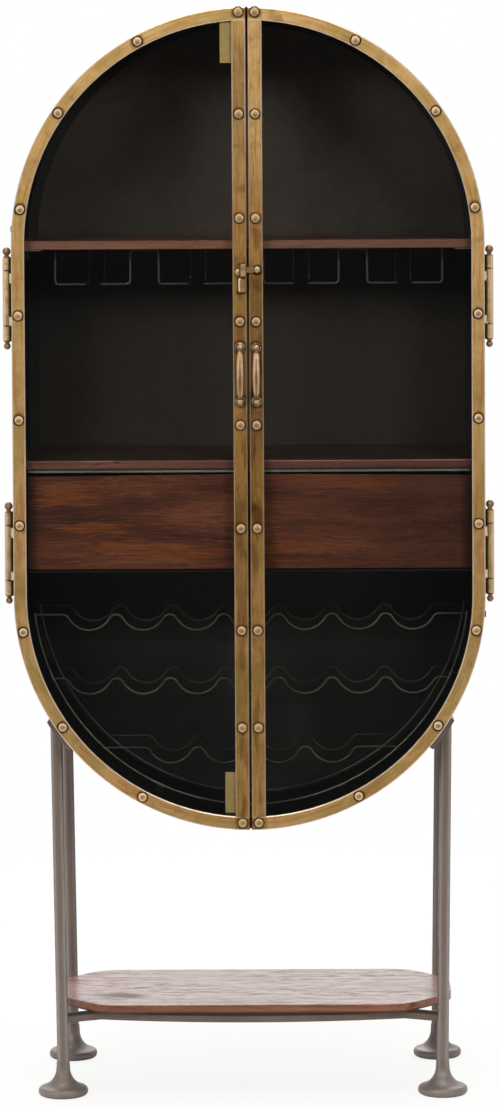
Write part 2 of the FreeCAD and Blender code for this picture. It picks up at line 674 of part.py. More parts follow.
OUTER_Z = (1262.0, 1096.0, 928.0)
INNER_Z = (1741.0, 1580.0, 1415.0, 1251.0, 1086.5, 922.0, 759.0, 603.5, 451.0)


def rivet_head():
    """A domed head with a short straight side, centred on the origin and standing up in -Y."""
    rise = RIVET_H - RIVET_S
    big = (RIVET_R ** 2 + rise ** 2) / (2 * rise)
    half_angle = math.asin(RIVET_R / big)

    def at(t):
        return V(big * math.sin(t), 0, RIVET_H - big + big * math.cos(t))

    n = 5
    prof = [Part.makeLine(V(0, 0, 0), V(RIVET_R, 0, 0)), Part.makeLine(V(RIVET_R, 0, 0), at(half_angle))]
    for k in range(n):
        a, b = half_angle * (n - k) / n, half_angle * (n - k - 1) / n
        prof.append(Part.Arc(at(a), at((a + b) / 2), at(b)).toShape())
    prof.append(Part.makeLine(at(0.0), V(0, 0, 0)))
    s = Part.Face(Part.Wire(prof)).revolve(V(0, 0, 0), V(0, 0, 1), 360)
    s.rotate(V(0, 0, 0), V(1, 0, 0), 90)
    return s


def rivets():
    res = []
    head = rivet_head()

    def put(x, z):
        s = head.copy()
        s.translate(V(x, DOOR_F, z))
        res.append(s)

    rc = R_DOOR - FACE_W / 2.0
    for zc, sg in ((ZT, 1), (ZB, -1)):
        for a in (28.2, 55.0, 81.0):
            t = math.radians(a)
            put(-rc * math.sin(t), zc + sg * rc * math.cos(t))
    for z in OUTER_Z:
        put(-rc, z)
    for z in INNER_Z:
        put(-HANDLE_X, z)
    return res


def bow_handle():
    """Bow handle: two round bosses and a bowed oval grip that swells in the middle."""
    x, yf = -HANDLE_X, DOOR_F
    h = HANDLE_C / 2.0
    s = None
    for sg in (-1, 1):
        z = HANDLE_Z + sg * h
        prof = [
            Part.makeLine(V(0, 0, 0), V(8.5, 0, 0)),
            Part.makeLine(V(8.5, 0, 0), V(8.5, 0, 1.6)),
            Part.Arc(V(8.5, 0, 1.6), V(7.0, 0, 3.4), V(5.2, 0, 4.2)).toShape(),
            Part.makeLine(V(5.2, 0, 4.2), V(0, 0, 4.2)),
            Part.makeLine(V(0, 0, 4.2), V(0, 0, 0)),
        ]
        b = Part.Face(Part.Wire(prof)).revolve(V(0, 0, 0), V(0, 0, 1), 360)
        b.rotate(V(0, 0, 0), V(1, 0, 0), 90)
        b.translate(V(x, yf, z))
        s = b if s is None else s.fuse(b)
    # the grip is lofted through ellipses set along a bowed line
    n = 11
    sections = []
    for k in range(n):
        u = -1 + 2.0 * k / (n - 1)
        depth = 2.8 + (HANDLE_OUT - 6.4) * (1 - abs(u) ** 2.4)
        zz = HANDLE_Z + u * (h - 3.5)
        slope = -(HANDLE_OUT - 6.4) * 2.4 * abs(u) ** 1.4 * (1 if u > 0 else -1) / (h - 3.5)
        tangent = V(0, -slope, 1).normalize()
        wx = 4.2 + 1.2 * math.cos(u * math.pi / 2) ** 1.2
        wy = 2.6 + 0.6 * math.cos(u * math.pi / 2)
        c = V(x, yf - depth, zz)
        normal = tangent
        el = Part.Ellipse(c + V(wx, 0, 0), c + (normal.cross(V(1, 0, 0))).normalize() * wy, c) if wx > wy else None
        sections.append(Part.Wire([el.toShape()]))
    grip = Part.makeLoft(sections, True, False)
    s = s.fuse(grip).removeSplitter()
    for sg in (-1, 1):
        s = s.cut(dome(x, yf - 4.2, HANDLE_Z + sg * h, 4.6, 2.6))
    return s


def slotted(x, y_face, z, r, h, turn):
    """A domed screw head with a straight driver slot turned by some degrees."""
    slot = box(-r - 1, r + 1, y_face - h - 1, y_face - h + 1.1, -0.55, 0.55)
    slot.rotate(V(0, 0, 0), V(0, 1, 0), turn)
    slot.translate(V(x, 0, z))
    return dome(x, y_face, z, r, h).cut(slot)


def handle_screws():
    res = []
    for sg in (-1, 1):
        res.append(slotted(-HANDLE_X, DOOR_F - 4.2, HANDLE_Z + sg * HANDLE_C / 2.0, 4.6, 2.6, 35 * sg + 10))
    return res


def strikes():
    y0 = DOOR_F + FACE_T + GLASS_T + 2.0
    a = box(-42.5, -GAP - RIM_T - 0.3, y0, y0 + 1.5, 1661.0, 1726.0)
    b = box(-40.5, -GAP - RIM_T - 0.3, y0, y0 + 1.5, 466.0, 531.0)
    return [a, b]


def keeper():
    yf = DOOR_F
    zb = LATCH_Z - 4.5
    plate = box(-20.5, -2.6, yf - 2.0, yf, LATCH_Z - 11.5, LATCH_Z + 8.0)
    plate = plate.makeFillet(1.5, [e for e in plate.Edges if abs(e.Length - 2.0) < 1e-6])
    tail = box(-14.0, -4.2, yf - 2.0, yf, LATCH_Z - 32.0, LATCH_Z - 10.0)
    lever = box(-15.0, -3.6, yf - 6.0, yf - 1.5, LATCH_Z - 36.0, LATCH_Z - 13.5)
    lever = lever.makeFillet(3.6, [e for e in lever.Edges if abs(e.Length - 4.5) < 1e-6])
    lever = lever.makeChamfer(1.8, [e for e in lever.Edges if all(abs(v.Y - (yf - 6.0)) < 1e-6 for v in e.Vertexes)])
    ledge = box(-11.2, -2.8, yf - 9.0, yf - 1.0, LATCH_Z - 10.6, zb - 0.3)
    lip = box(-11.8, -2.4, yf - 10.8, yf - 8.0, LATCH_Z - 11.2, LATCH_Z + 9.2)
    lip = lip.makeFillet(2.4, [e for e in lip.Edges if abs(e.Length - 2.8) < 1e-6])
    lip = lip.makeChamfer(0.9, [e for e in lip.Edges if all(abs(v.Y - (yf - 10.8)) < 1e-6 for v in e.Vertexes)])
    s = plate.fuse([tail, lever, ledge, lip])
    return s.removeSplitter()


def hook():
    y0, y1 = DOOR_F - 7.0, DOOR_F - 4.0
    arm = box(-10.6, LATCH_X, y0, y1, LATCH_Z - 4.5, LATCH_Z + 4.5)
    eye = Part.makeCylinder(6.2, 3.0, V(LATCH_X, y0, LATCH_Z), V(0, 1, 0))
    s = arm.fuse(eye)
    s = s.cut(Part.makeCylinder(2.5 + RUN, 10, V(LATCH_X, y0 - 3, LATCH_Z), V(0, 1, 0)))
    return s.removeSplitter()


def pivot_screw():
    yf = DOOR_F
    collar = Part.makeCylinder(5.0, 3.8, V(LATCH_X, yf - 3.8, LATCH_Z), V(0, 1, 0))
    shank = Part.makeCylinder(2.5, 7.3, V(LATCH_X, yf - 7.3, LATCH_Z), V(0, 1, 0))
    head = slotted(LATCH_X, yf - 7.25, LATCH_Z, 5.0, 3.0, 70)
    return collar.fuse([shank, head]).removeSplitter()


for name, f in (("left", lambda s: s), ("right", mirror)):
    out(name + "_door_face", f(door_face()))
    out(name + "_door_rim", f(door_rim()))
    out(name + "_door_glass", f(door_glass()))
    out(name + "_glass_retainer", f(door_retainer()))
    out(name + "_rivets", *[f(s) for s in rivets()])
    out(name + "_hinge_knuckles", *[f(s) for s in door_knuckles()])
    out(name + "_handle", f(bow_handle()))
    screws_ = [f(s) for s in handle_screws()]
    if name == "left":
        screws_.append(slotted(-15.9, DOOR_F - 2.0, LATCH_Z - 3.7, 4.4, 3.0, 20))
    else:
        screws_.append(pivot_screw())
    out(name + "_door_screws", *screws_)
out("strike_plates", *strikes())
out("latch_keeper", keeper())
out("latch_hook", hook())
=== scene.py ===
import bpy
import bmesh
import math
from mathutils import Vector, Matrix


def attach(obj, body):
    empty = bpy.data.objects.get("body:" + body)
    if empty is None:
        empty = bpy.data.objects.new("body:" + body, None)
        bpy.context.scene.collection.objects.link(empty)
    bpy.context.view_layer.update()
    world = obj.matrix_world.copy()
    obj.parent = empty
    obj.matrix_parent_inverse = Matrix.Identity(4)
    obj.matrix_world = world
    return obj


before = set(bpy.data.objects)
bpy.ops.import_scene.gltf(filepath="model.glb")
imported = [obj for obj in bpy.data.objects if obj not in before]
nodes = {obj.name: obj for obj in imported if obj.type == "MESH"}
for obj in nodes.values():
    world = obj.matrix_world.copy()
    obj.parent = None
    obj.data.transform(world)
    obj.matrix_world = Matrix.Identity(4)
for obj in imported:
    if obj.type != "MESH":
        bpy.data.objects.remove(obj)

scene = bpy.context.scene
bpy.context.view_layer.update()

# Layout of the cabinet, in metres, in the row frame.
YS = -0.15175                  # row y of the sheet body's front edge
R_DOOR, FACE_W, STILE_W = 0.3755, 0.0208, 0.02225
ZB, ZT = 0.815, 1.3735         # centres of the lower and upper half circles
DOOR_F = -0.0225 + YS          # front face of the door frames
GAP = 0.00175
RIVET_H = 0.0031
STILE_X = 0.0129
R_MID = R_DOOR - FACE_W / 2
HINGE_Z = (1.292, 0.886)
HANDLE_Z, HANDLE_C = 1.167, 0.085
LATCH_X, LATCH_Z = 0.015, 1.3335
BACK_Y = YS + 0.3500           # outer face of the back panel

# rivet centres on one door, x away from the centre plane
RIVETS = []
for zc, sg in ((ZT, 1), (ZB, -1)):
    for deg in (28.2, 55.0, 81.0):
        t = math.radians(deg)
        RIVETS.append((R_MID * math.sin(t), zc + sg * R_MID * math.cos(t)))
RIVETS += [(R_MID, z) for z in (1.262, 1.096, 0.928)]
RIVETS += [(STILE_X, z) for z in (1.741, 1.580, 1.415, 1.251, 1.0865, 0.922, 0.759, 0.6035, 0.451)]


def lin(r, g, b):
    """sRGB 0..255 to linear."""
    def f(c):
        c = c / 255.0
        return c / 12.92 if c <= 0.04045 else ((c + 0.055) / 1.055) ** 2.4
    return (f(r), f(g), f(b), 1.0)


# ------------------------------------------------------------------ node kit
class G:
    """Small helper to write node trees as expressions."""

    def __init__(self, name):
        self.mat = bpy.data.materials.new(name)
        self.mat.use_nodes = True
        self.nt = self.mat.node_tree
        self.nt.nodes.clear()
        self.out = self.nt.nodes.new("ShaderNodeOutputMaterial")
        self.p = None

    def n(self, kind, **props):
        node = self.nt.nodes.new(kind)
        for k, v in props.items():
            setattr(node, k, v)
        return node

    def put(self, socket, value):
        if isinstance(value, bpy.types.NodeSocket):
            self.nt.links.new(value, socket)
        elif value is not None:
            socket.default_value = value

    def principled(self, **consts):
        self.p = self.n("ShaderNodeBsdfPrincipled")
        self.nt.links.new(self.p.outputs["BSDF"], self.out.inputs["Surface"])
        for k, v in consts.items():
            self.put(self.p.inputs[k.replace("_", " ")], v)
        return self.p

    def obj(self):
        return self.n("ShaderNodeTexCoord").outputs["Object"]

    def xyz(self, vec):
        s = self.n("ShaderNodeSeparateXYZ")
        self.put(s.inputs[0], vec)
        return s.outputs[0], s.outputs[1], s.outputs[2]

    def vec(self, x, y, z):
        c = self.n("ShaderNodeCombineXYZ")
        for i, v in enumerate((x, y, z)):
            self.put(c.inputs[i], v)
        return c.outputs[0]

    def scale(self, vec, sx, sy, sz):
        m = self.n("ShaderNodeVectorMath", operation="MULTIPLY")
        self.put(m.inputs[0], vec)
        m.inputs[1].default_value = (sx, sy, sz)
        return m.outputs[0]

    def vadd(self, vec, x, y, z):
        m = self.n("ShaderNodeVectorMath", operation="ADD")
        self.put(m.inputs[0], vec)
        m.inputs[1].default_value = (x, y, z)
        return m.outputs[0]

    def m(self, op, a, b=None, c=None, clamp=False):
        node = self.n("ShaderNodeMath", operation=op, use_clamp=clamp)
        for i, v in enumerate((a, b, c)):
            if v is not None:
                self.put(node.inputs[i], v)
        return node.outputs[0]

    def dist(self, vec, point):
        m = self.n("ShaderNodeVectorMath", operation="DISTANCE")
        self.put(m.inputs[0], vec)
        m.inputs[1].default_value = point
        return m.outputs["Value"]

    def nearest(self, vec, points):
        """Distance to the nearest of some points."""
        best = None
        for q in points:
            d = self.dist(vec, q)
            best = d if best is None else self.m("MINIMUM", best, d)
        return best

    def rect(self, a, b, a0, a1, b0, b1):
        """Signed distance to a rectangle, negative inside."""
        da = self.m("SUBTRACT", self.m("ABSOLUTE", self.m("SUBTRACT", a, (a0 + a1) / 2)), (a1 - a0) / 2)
        db = self.m("SUBTRACT", self.m("ABSOLUTE", self.m("SUBTRACT", b, (b0 + b1) / 2)), (b1 - b0) / 2)
        return self.m("MAXIMUM", da, db)

    def lines(self, x, values):
        """Distance to the nearest of some values of one coordinate."""
        best = None
        for v in values:
            d = self.m("ABSOLUTE", self.m("SUBTRACT", x, v))
            best = d if best is None else self.m("MINIMUM", best, d)
        return best

    def noise(self, vec, scale, detail=3.0, rough=0.5, dist=0.0):
        t = self.n("ShaderNodeTexNoise")
        self.put(t.inputs["Vector"], vec)
        t.inputs["Scale"].default_value = scale
        t.inputs["Detail"].default_value = detail
        t.inputs["Roughness"].default_value = rough
        t.inputs["Distortion"].default_value = dist
        return t.outputs["Fac"]

    def voronoi(self, vec, scale, feature="F1"):
        t = self.n("ShaderNodeTexVoronoi", feature=feature)
        self.put(t.inputs["Vector"], vec)
        t.inputs["Scale"].default_value = scale
        return t.outputs["Distance"]

    def rng(self, x, a, b, c=0.0, d=1.0, smooth=True):
        t = self.n("ShaderNodeMapRange", interpolation_type="SMOOTHSTEP" if smooth else "LINEAR")
        self.put(t.inputs["Value"], x)
        for k, v in (("From Min", a), ("From Max", b), ("To Min", c), ("To Max", d)):
            t.inputs[k].default_value = v
        return t.outputs["Result"]

    def ramp(self, x, stops, mode="LINEAR"):
        t = self.n("ShaderNodeValToRGB")
        t.color_ramp.interpolation = mode
        e = t.color_ramp.elements
        while len(e) > 1:
            e.remove(e[-1])
        e[0].position, e[0].color = stops[0]
        for pos, col in stops[1:]:
            k = e.new(pos)
            k.color = col
        self.put(t.inputs[0], x)
        return t.outputs[0]

    def mix(self, fac, a, b, blend="MIX"):
        t = self.n("ShaderNodeMix", data_type="RGBA", blend_type=blend)
        self.put(t.inputs[0], fac)
        self.put(t.inputs[6], a)
        self.put(t.inputs[7], b)
        return t.outputs[2]

    def bump(self, height, strength, distance, normal=None):
        t = self.n("ShaderNodeBump")
        t.inputs["Strength"].default_value = strength
        t.inputs["Distance"].default_value = distance
        self.put(t.inputs["Height"], height)
        if normal is not None:
            self.put(t.inputs["Normal"], normal)
        return t.outputs[0]


# ------------------------------------------------------------------ materials
def bar_coords(g):
    """Position along and across the door frames' bars: (along, across 0..1 from the middle to an edge)."""
    p = g.obj()
    x, y, z = g.xyz(p)
    ax = g.m("ABSOLUTE", x)
    zc = g.m("MINIMUM", g.m("MAXIMUM", z, ZB), ZT)
    dz = g.m("SUBTRACT", z, zc)
    r = g.m("SQRT", g.m("ADD", g.m("MULTIPLY", x, x), g.m("MULTIPLY", dz, dz)))
    ang = g.m("ARCTAN2", dz, ax)
    along_arc = g.m("ADD", g.m("MULTIPLY", ang, R_MID), zc)
    across_arc = g.m("DIVIDE", g.m("ABSOLUTE", g.m("SUBTRACT", r, R_MID)), FACE_W / 2)
    across_st = g.m("DIVIDE", g.m("ABSOLUTE", g.m("SUBTRACT", ax, STILE_X)), STILE_W / 2)
    is_stile = g.m("MULTIPLY", g.m("LESS_THAN", ax, 0.0252), g.m("LESS_THAN", r, R_DOOR - FACE_W))
    keep = g.m("SUBTRACT", 1.0, is_stile)
    along = g.m("ADD", g.m("MULTIPLY", z, is_stile), g.m("MULTIPLY", along_arc, keep))
    side = g.m("ADD", g.m("MULTIPLY", x, is_stile), g.m("MULTIPLY", g.m("SUBTRACT", r, R_MID), keep))
    across = g.m("ADD", g.m("MULTIPLY", across_st, is_stile), g.m("MULTIPLY", across_arc, keep))
    return p, along, side, across, y


def brass_frame():
    g = G("aged_brass_frame")
    p, along, side, across, y = bar_coords(g)
    x, _, z = g.xyz(p)
    ax = g.m("ABSOLUTE", x)
    streak = g.noise(g.vec(g.m("MULTIPLY", along, 11.0), g.m("MULTIPLY", side, 430.0), g.m("MULTIPLY", y, 300.0)), 1.0, 3.0, 0.55)
    band = g.noise(g.vec(g.m("MULTIPLY", along, 15.0), g.m("MULTIPLY", side, 120.0), 3.7), 1.0, 4.0, 0.62, 0.5)
    tone = g.noise(g.vadd(p, 5.3, 2.2, 8.1), 13.0, 3.0, 0.55, 0.5)
    patch = g.noise(g.vadd(p, 3.1, 1.7, 0.4), 34.0, 3.0, 0.55, 0.3)
    cross = g.noise(g.vec(g.m("MULTIPLY", along, 46.0), g.m("MULTIPLY", side, 26.0), 1.3), 1.0, 3.0, 0.6)
    fine = g.noise(p, 520.0, 2.0, 0.5)
    base = g.ramp(tone, [(0.30, lin(164, 136, 80)), (0.44, lin(184, 150, 92)), (0.58, lin(202, 164, 110)), (0.72, lin(178, 136, 86))])
    base = g.mix(g.rng(band, 0.50, 0.64, 0.0, 0.66), base, lin(170, 114, 64))
    base = g.mix(g.rng(band, 0.46, 0.34, 0.0, 0.55), base, lin(152, 126, 66))
    base = g.mix(g.rng(streak, 0.52, 0.74, 0.0, 0.38), base, lin(134, 96, 54))
    base = g.mix(g.rng(streak, 0.44, 0.28, 0.0, 0.30), base, lin(214, 182, 132))
    base = g.mix(g.m("MULTIPLY", g.rng(patch, 0.50, 0.68), g.rng(cross, 0.40, 0.62, 0.10, 0.46)), base, lin(118, 84, 46))
    base = g.mix(g.rng(fine, 0.60, 0.8, 0.0, 0.30), base, lin(104, 72, 40))
    # patina round the rivets and the handle bosses, and painted contact shade round the handle's grip and the latch
    wob = g.rng(patch, 0.3, 0.7, -0.0022, 0.0022)
    rv = g.m("ADD", g.nearest(g.vec(ax, 0.0, z), [(rx, 0.0, rz) for rx, rz in RIVETS]), wob)
    base = g.mix(g.rng(rv, 0.0078, 0.0125, 0.62, 0.0), base, lin(88, 58, 32))
    bosses = [(STILE_X, 0.0, HANDLE_Z + s * HANDLE_C / 2) for s in (-1, 1)]
    bd = g.m("ADD", g.nearest(g.vec(ax, 0.0, z), bosses), wob)
    base = g.mix(g.rng(bd, 0.0085, 0.0150, 0.85, 0.0), base, lin(58, 38, 22))
    grip = g.m("ADD", g.rect(ax, z, STILE_X - 0.0055, STILE_X + 0.0055, HANDLE_Z - 0.036, HANDLE_Z + 0.036), wob)
    base = g.mix(g.rng(grip, 0.0005, 0.0050, 0.45, 0.0), base, lin(92, 64, 38))
    block = g.rect(x, z, -0.0150, -0.0022, LATCH_Z - 0.0110, LATCH_Z + 0.0090)
    lever = g.rect(x, z, -0.0152, -0.0034, LATCH_Z - 0.0368, LATCH_Z - 0.0120)
    pivot = g.dist(g.vec(x, 0.0, z), (LATCH_X, 0.0, LATCH_Z - 0.0006))
    latch_shade = g.m("ADD", g.m("MINIMUM", g.m("MINIMUM", block, lever), g.m("SUBTRACT", pivot, 0.0068)), g.m("MULTIPLY", wob, 0.5))
    base = g.mix(g.rng(latch_shade, 0.0004, 0.0034, 0.84, 0.0), base, lin(50, 33, 19))
    # darker handled places of the meeting stiles: the right one beside the handle, the left one's top
    stile = g.rng(ax, 0.0252, 0.0262, 1.0, 0.0)
    near = g.m("MULTIPLY", g.rng(z, 0.98, 1.06, 0.0, 1.0), g.rng(z, 1.24, 1.34, 1.0, 0.0))
    hand = g.m("ADD", g.m("MULTIPLY", near, g.rng(x, -0.001, 0.001)),
               g.m("MULTIPLY", g.m("MULTIPLY", g.rng(z, 1.45, 1.60), g.rng(z, 1.68, 1.725, 1.0, 0.0)), g.rng(x, -0.001, 0.001, 1.0, 0.0)))
    stain = g.noise(g.vec(g.m("MULTIPLY", x, 60.0), 2.6, g.m("MULTIPLY", z, 15.0)), 1.0, 3.0, 0.55, 0.2)
    # stains, strongest above the fourth rivet from the bottom of the right stile
    spot = g.dist(g.scale(p, 1.0, 0.0, 0.42), (0.0140, 0.0, 0.9400 * 0.42))
    hand = g.m("ADD", hand, g.rng(g.m("ADD", spot, g.rng(stain, 0.35, 0.65, 0.004, -0.004)), 0.005, 0.015, 1.6, 0.0))
    hand = g.m("ADD", hand, g.m("MULTIPLY", g.rng(stain, 0.50, 0.64, -0.06, 1.0), g.rng(z, 1.36, 1.44, 1.0, 0.22)))
    hand = g.m("MULTIPLY", hand, stile)
    sh = g.n("ShaderNodeVectorMath", operation="MULTIPLY")
    g.put(sh.inputs[0], base)
    g.put(sh.inputs[1], g.vec(g.m("SUBTRACT", 1.0, g.m("MULTIPLY", hand, 0.34)), g.m("SUBTRACT", 1.0, g.m("MULTIPLY", hand, 0.38)),
                              g.m("SUBTRACT", 1.0, g.m("MULTIPLY", hand, 0.40))))
    base = sh.outputs[0]
    # painted highlight: pale arrises on both sides of each bar
    edge_highlight = g.m("MULTIPLY", g.rng(across, 0.78, 0.90), g.rng(patch, 0.32, 0.5, 0.70, 1.0))
    base = g.mix(g.m("MULTIPLY", edge_highlight, 0.86), base, lin(214, 196, 176))
    # painted shade on the bars' side walls, behind the front face
    side_wall_shade = g.rng(y, DOOR_F + 0.0016, DOOR_F + 0.004, 0.0, 0.62)
    base = g.mix(side_wall_shade, base, lin(96, 70, 42))
    # the meeting stiles are darker than the outer bars, darkest between z 0.98 and 1.38 and fading out above
    dim = g.m("MULTIPLY", g.rng(z, 1.38, 1.60, 0.24, 0.04), g.rng(z, 0.78, 0.98, 0.78, 1.0))
    dim = g.m("MULTIPLY", g.m("MULTIPLY", stile, dim), 1.75)
    tone3 = g.vec(g.m("SUBTRACT", 1.04, g.m("MULTIPLY", dim, 0.86)), g.m("SUBTRACT", 1.02, g.m("MULTIPLY", dim, 1.06)),
                  g.m("SUBTRACT", 0.97, g.m("MULTIPLY", dim, 1.32)))
    sc = g.n("ShaderNodeVectorMath", operation="MULTIPLY")
    g.put(sc.inputs[0], base)
    g.put(sc.inputs[1], tone3)
    base = sc.outputs[0]
    rough = g.m("ADD", g.rng(streak, 0.3, 0.7, 0.40, 0.50), g.rng(patch, 0.5, 0.75, 0.0, 0.14))
    g.principled(Metallic=0.82)
    g.put(g.p.inputs["Base Color"], base)
    g.put(g.p.inputs["Roughness"], rough)
    b = g.bump(streak, 0.12, 0.0004)
    b = g.bump(patch, 0.14, 0.0012, b)
    g.put(g.p.inputs["Normal"], b)
    return g.mat


def brass_plain(name, light, mid, dark, rough=(0.26, 0.4), grime=0.35, metallic=0.85, zstreak=False, joints=None, spots=None, shaded=False, grip=False, keeper=False):
    """Turned or cast brass with patina in blotches and dark lines at its joints; painted highlights and shade on the
    keeper, the grip and the hinge barrels.
    """
    g = G(name)
    p = g.obj()
    x, y, z = g.xyz(p)
    blotch = g.noise(p, 70.0, 4.0, 0.62, 0.5)
    big = g.noise(g.vadd(p, 2.0, 4.0, 1.0), 26.0, 3.0, 0.6, 0.4)
    if zstreak:
        fine = g.noise(g.scale(p, 900, 900, 60), 1.0, 3.0, 0.6)
    else:
        fine = g.noise(p, 520.0, 3.0, 0.6)
    tab_highlight = None
    base = g.ramp(blotch, [(0.34, mid), (0.62, light)])
    base = g.mix(g.rng(big, 0.52, 0.72, 0.0, 0.45), base, mid)
    base = g.mix(g.rng(fine, 0.5, 0.78, 0.0, grime), base, dark)
    base = g.mix(g.rng(blotch, 0.60, 0.78, 0.0, grime), base, dark)
    if joints:
        d = g.m("ADD", g.lines(z, joints), g.rng(fine, 0.3, 0.7, -0.0003, 0.0003))
        base = g.mix(g.rng(d, 0.0006, 0.0017, 0.92, 0.0), base, lin(34, 22, 14))
    if keeper:
        # base plate as dark as the stile; a painted highlight down the lever's left side; painted shade along the seam
        # under the block and just inside the block's lower rim
        plate = g.m("MULTIPLY", g.rng(x, -0.0124, -0.0118, 1.0, 0.0), g.rng(z, LATCH_Z - 0.0120, LATCH_Z - 0.0116, 0.0, 1.0))
        base = g.mix(g.m("MULTIPLY", plate, 0.80), base, lin(150, 118, 70))
        lever = g.rng(z, LATCH_Z - 0.0126, LATCH_Z - 0.0138, 0.0, 1.0)
        base = g.mix(g.m("MULTIPLY", lever, g.rng(x, -0.0128, -0.0118, 0.85, 0.0)), base, lin(250, 230, 196))
        seam_shade = g.m("ABSOLUTE", g.m("SUBTRACT", z, LATCH_Z - 0.0123))
        base = g.mix(g.rng(seam_shade, 0.0008, 0.0020, 0.85, 0.0), base, lin(38, 26, 16))
        rim = g.rect(x, z, -0.0118, -0.0024, LATCH_Z - 0.0112, LATCH_Z + 0.0092)
        lipzone = g.rng(z, LATCH_Z - 0.0116, LATCH_Z - 0.0110, 0.0, 1.0)
        base = g.mix(g.m("MULTIPLY", lipzone, g.rng(rim, -0.0012, -0.0004, 0.0, 0.55)), base, lin(58, 40, 24))
    if grip:
        # painted shade down the middle of the grip and painted highlights along both its sides; dark mottling on the
        # bosses
        dx = g.m("ABSOLUTE", g.m("SUBTRACT", g.m("ABSOLUTE", x), STILE_X))
        zone = g.rng(g.m("ABSOLUTE", g.m("SUBTRACT", z, HANDLE_Z)), 0.030, 0.036, 1.0, 0.0)
        dx = g.m("ADD", dx, g.rng(big, 0.35, 0.65, -0.0006, 0.0006))
        base = g.mix(g.m("MULTIPLY", zone, g.rng(dx, 0.0008, 0.0020, 0.78, 0.0)), base, lin(122, 92, 62))
        base = g.mix(g.m("MULTIPLY", zone, g.rng(dx, 0.0018, 0.0030, 0.0, 0.55)), base, lin(216, 186, 146))
        mott = g.noise(g.vadd(p, 7.0, 3.0, 5.0), 240.0, 3.0, 0.6, 0.4)
        base = g.mix(g.m("MULTIPLY", g.m("SUBTRACT", 1.0, zone), g.rng(mott, 0.44, 0.58, 0.15, 0.88)), base, lin(58, 40, 24))
    if shaded:
        # painted light on the barrels: a painted highlight along the outer edge and painted shade on the side toward
        # the frame; the tabs' fronts are painted near-white and less metallic as a painted highlight
        ax = g.m("ABSOLUTE", x)
        base = g.mix(g.rng(ax, 0.3852, 0.3880, 0.0, 0.62), base, lin(236, 212, 188))
        base = g.mix(g.rng(ax, 0.3772, 0.3838, 0.80, 0.0), base, lin(58, 34, 26))
        tab = None
        for hz in HINGE_Z:
            for a, b in ((0.0215, 0.0367), (-0.0455, -0.0327)):
                d = g.rect(z, ax, hz + a, hz + b, 0.3740, 0.3792)
                tab = d if tab is None else g.m("MINIMUM", tab, d)
        tab = g.m("ADD", tab, g.rng(blotch, 0.3, 0.7, -0.0010, 0.0010))
        front = g.rng(y, YS - 0.0102, YS - 0.0085, 1.0, 0.0)
        tab_highlight = g.m("MULTIPLY", g.rng(tab, -0.0004, 0.0008, 1.0, 0.0), front)
        base = g.mix(tab_highlight, base, lin(255, 244, 220))
    if spots:
        d = g.m("ADD", g.nearest(g.vec(g.m("ABSOLUTE", x), 0.0, z), [(sx, 0.0, sz) for sx, sz, _, _ in spots]), g.rng(blotch, 0.3, 0.7, -0.0008, 0.0008))
        base = g.mix(g.rng(d, spots[0][2], spots[0][3], 0.75, 0.0), base, lin(48, 32, 18))
    g.principled(Metallic=metallic)
    if tab_highlight is not None:
        g.put(g.p.inputs["Metallic"], g.m("MULTIPLY", g.m("SUBTRACT", 1.0, tab_highlight), metallic))
    g.put(g.p.inputs["Base Color"], base)
    g.put(g.p.inputs["Roughness"], g.m("ADD", g.rng(blotch, 0.3, 0.7, rough[0], rough[1]), g.rng(fine, 0.3, 0.7, 0.0, 0.06)))
    b = g.bump(fine, 0.10, 0.0004)
    g.put(g.p.inputs["Normal"], g.bump(blotch, 0.12, 0.0008, b))
    return g.mat


def rivet_brass():
    g = G("rivet_brass")
    p = g.obj()
    x, y, z = g.xyz(p)
    t = g.m("DIVIDE", g.m("SUBTRACT", DOOR_F, y), RIVET_H)
    grain = g.noise(p, 260.0, 3.0, 0.6)
    patch = g.noise(p, 70.0, 3.0, 0.6)
    tone = g.noise(g.vadd(p, 1.0, 2.0, 3.0), 9.0, 2.0, 0.5)
    t = g.m("ADD", t, g.rng(grain, 0.3, 0.7, -0.05, 0.05))
    # painted light on the dome: a pale highlight ring round its flank and a darker top, a painted reflection; dark
    # patina at its foot
    base = g.ramp(t, [(0.33, lin(40, 24, 13)), (0.42, lin(96, 68, 40)), (0.51, lin(218, 190, 152)), (0.78, lin(200, 170, 128)), (0.93, lin(156, 128, 86)), (1.0, lin(142, 114, 74))])
    base = g.mix(g.rng(patch, 0.52, 0.72, 0.0, 0.45), base, lin(162, 124, 76))
    base = g.mix(g.rng(tone, 0.42, 0.62, 0.0, 0.30), base, lin(196, 158, 104))
    base = g.mix(g.rng(grain, 0.60, 0.78, 0.0, 0.25), base, lin(120, 86, 52))
    base = g.mix(g.rng(g.m("ABSOLUTE", x), 0.030, 0.040, 0.30, 0.0), base, lin(122, 94, 56))
    g.principled(Metallic=0.68)
    g.put(g.p.inputs["Base Color"], base)
    g.put(g.p.inputs["Roughness"], g.rng(patch, 0.3, 0.7, 0.44, 0.56))
    g.put(g.p.inputs["Normal"], g.bump(grain, 0.12, 0.0004))
    return g.mat


def patina_ring():
    g = G("patina_ring")
    p = g.obj()
    grain = g.noise(p, 300.0, 3.0, 0.6)
    patch = g.noise(p, 120.0, 3.0, 0.6)
    base = g.ramp(grain, [(0.35, lin(46, 26, 10)), (0.7, lin(82, 52, 24))])
    base = g.mix(g.rng(patch, 0.58, 0.74, 0.0, 0.35), base, lin(112, 76, 40))
    g.principled(Metallic=0.55, Specular_IOR_Level=0.15)
    g.put(g.p.inputs["Base Color"], base)
    g.put(g.p.inputs["Roughness"], g.rng(grain, 0.3, 0.7, 0.55, 0.75))
    g.put(g.p.inputs["Normal"], g.bump(grain, 0.2, 0.0005))
    return g.mat


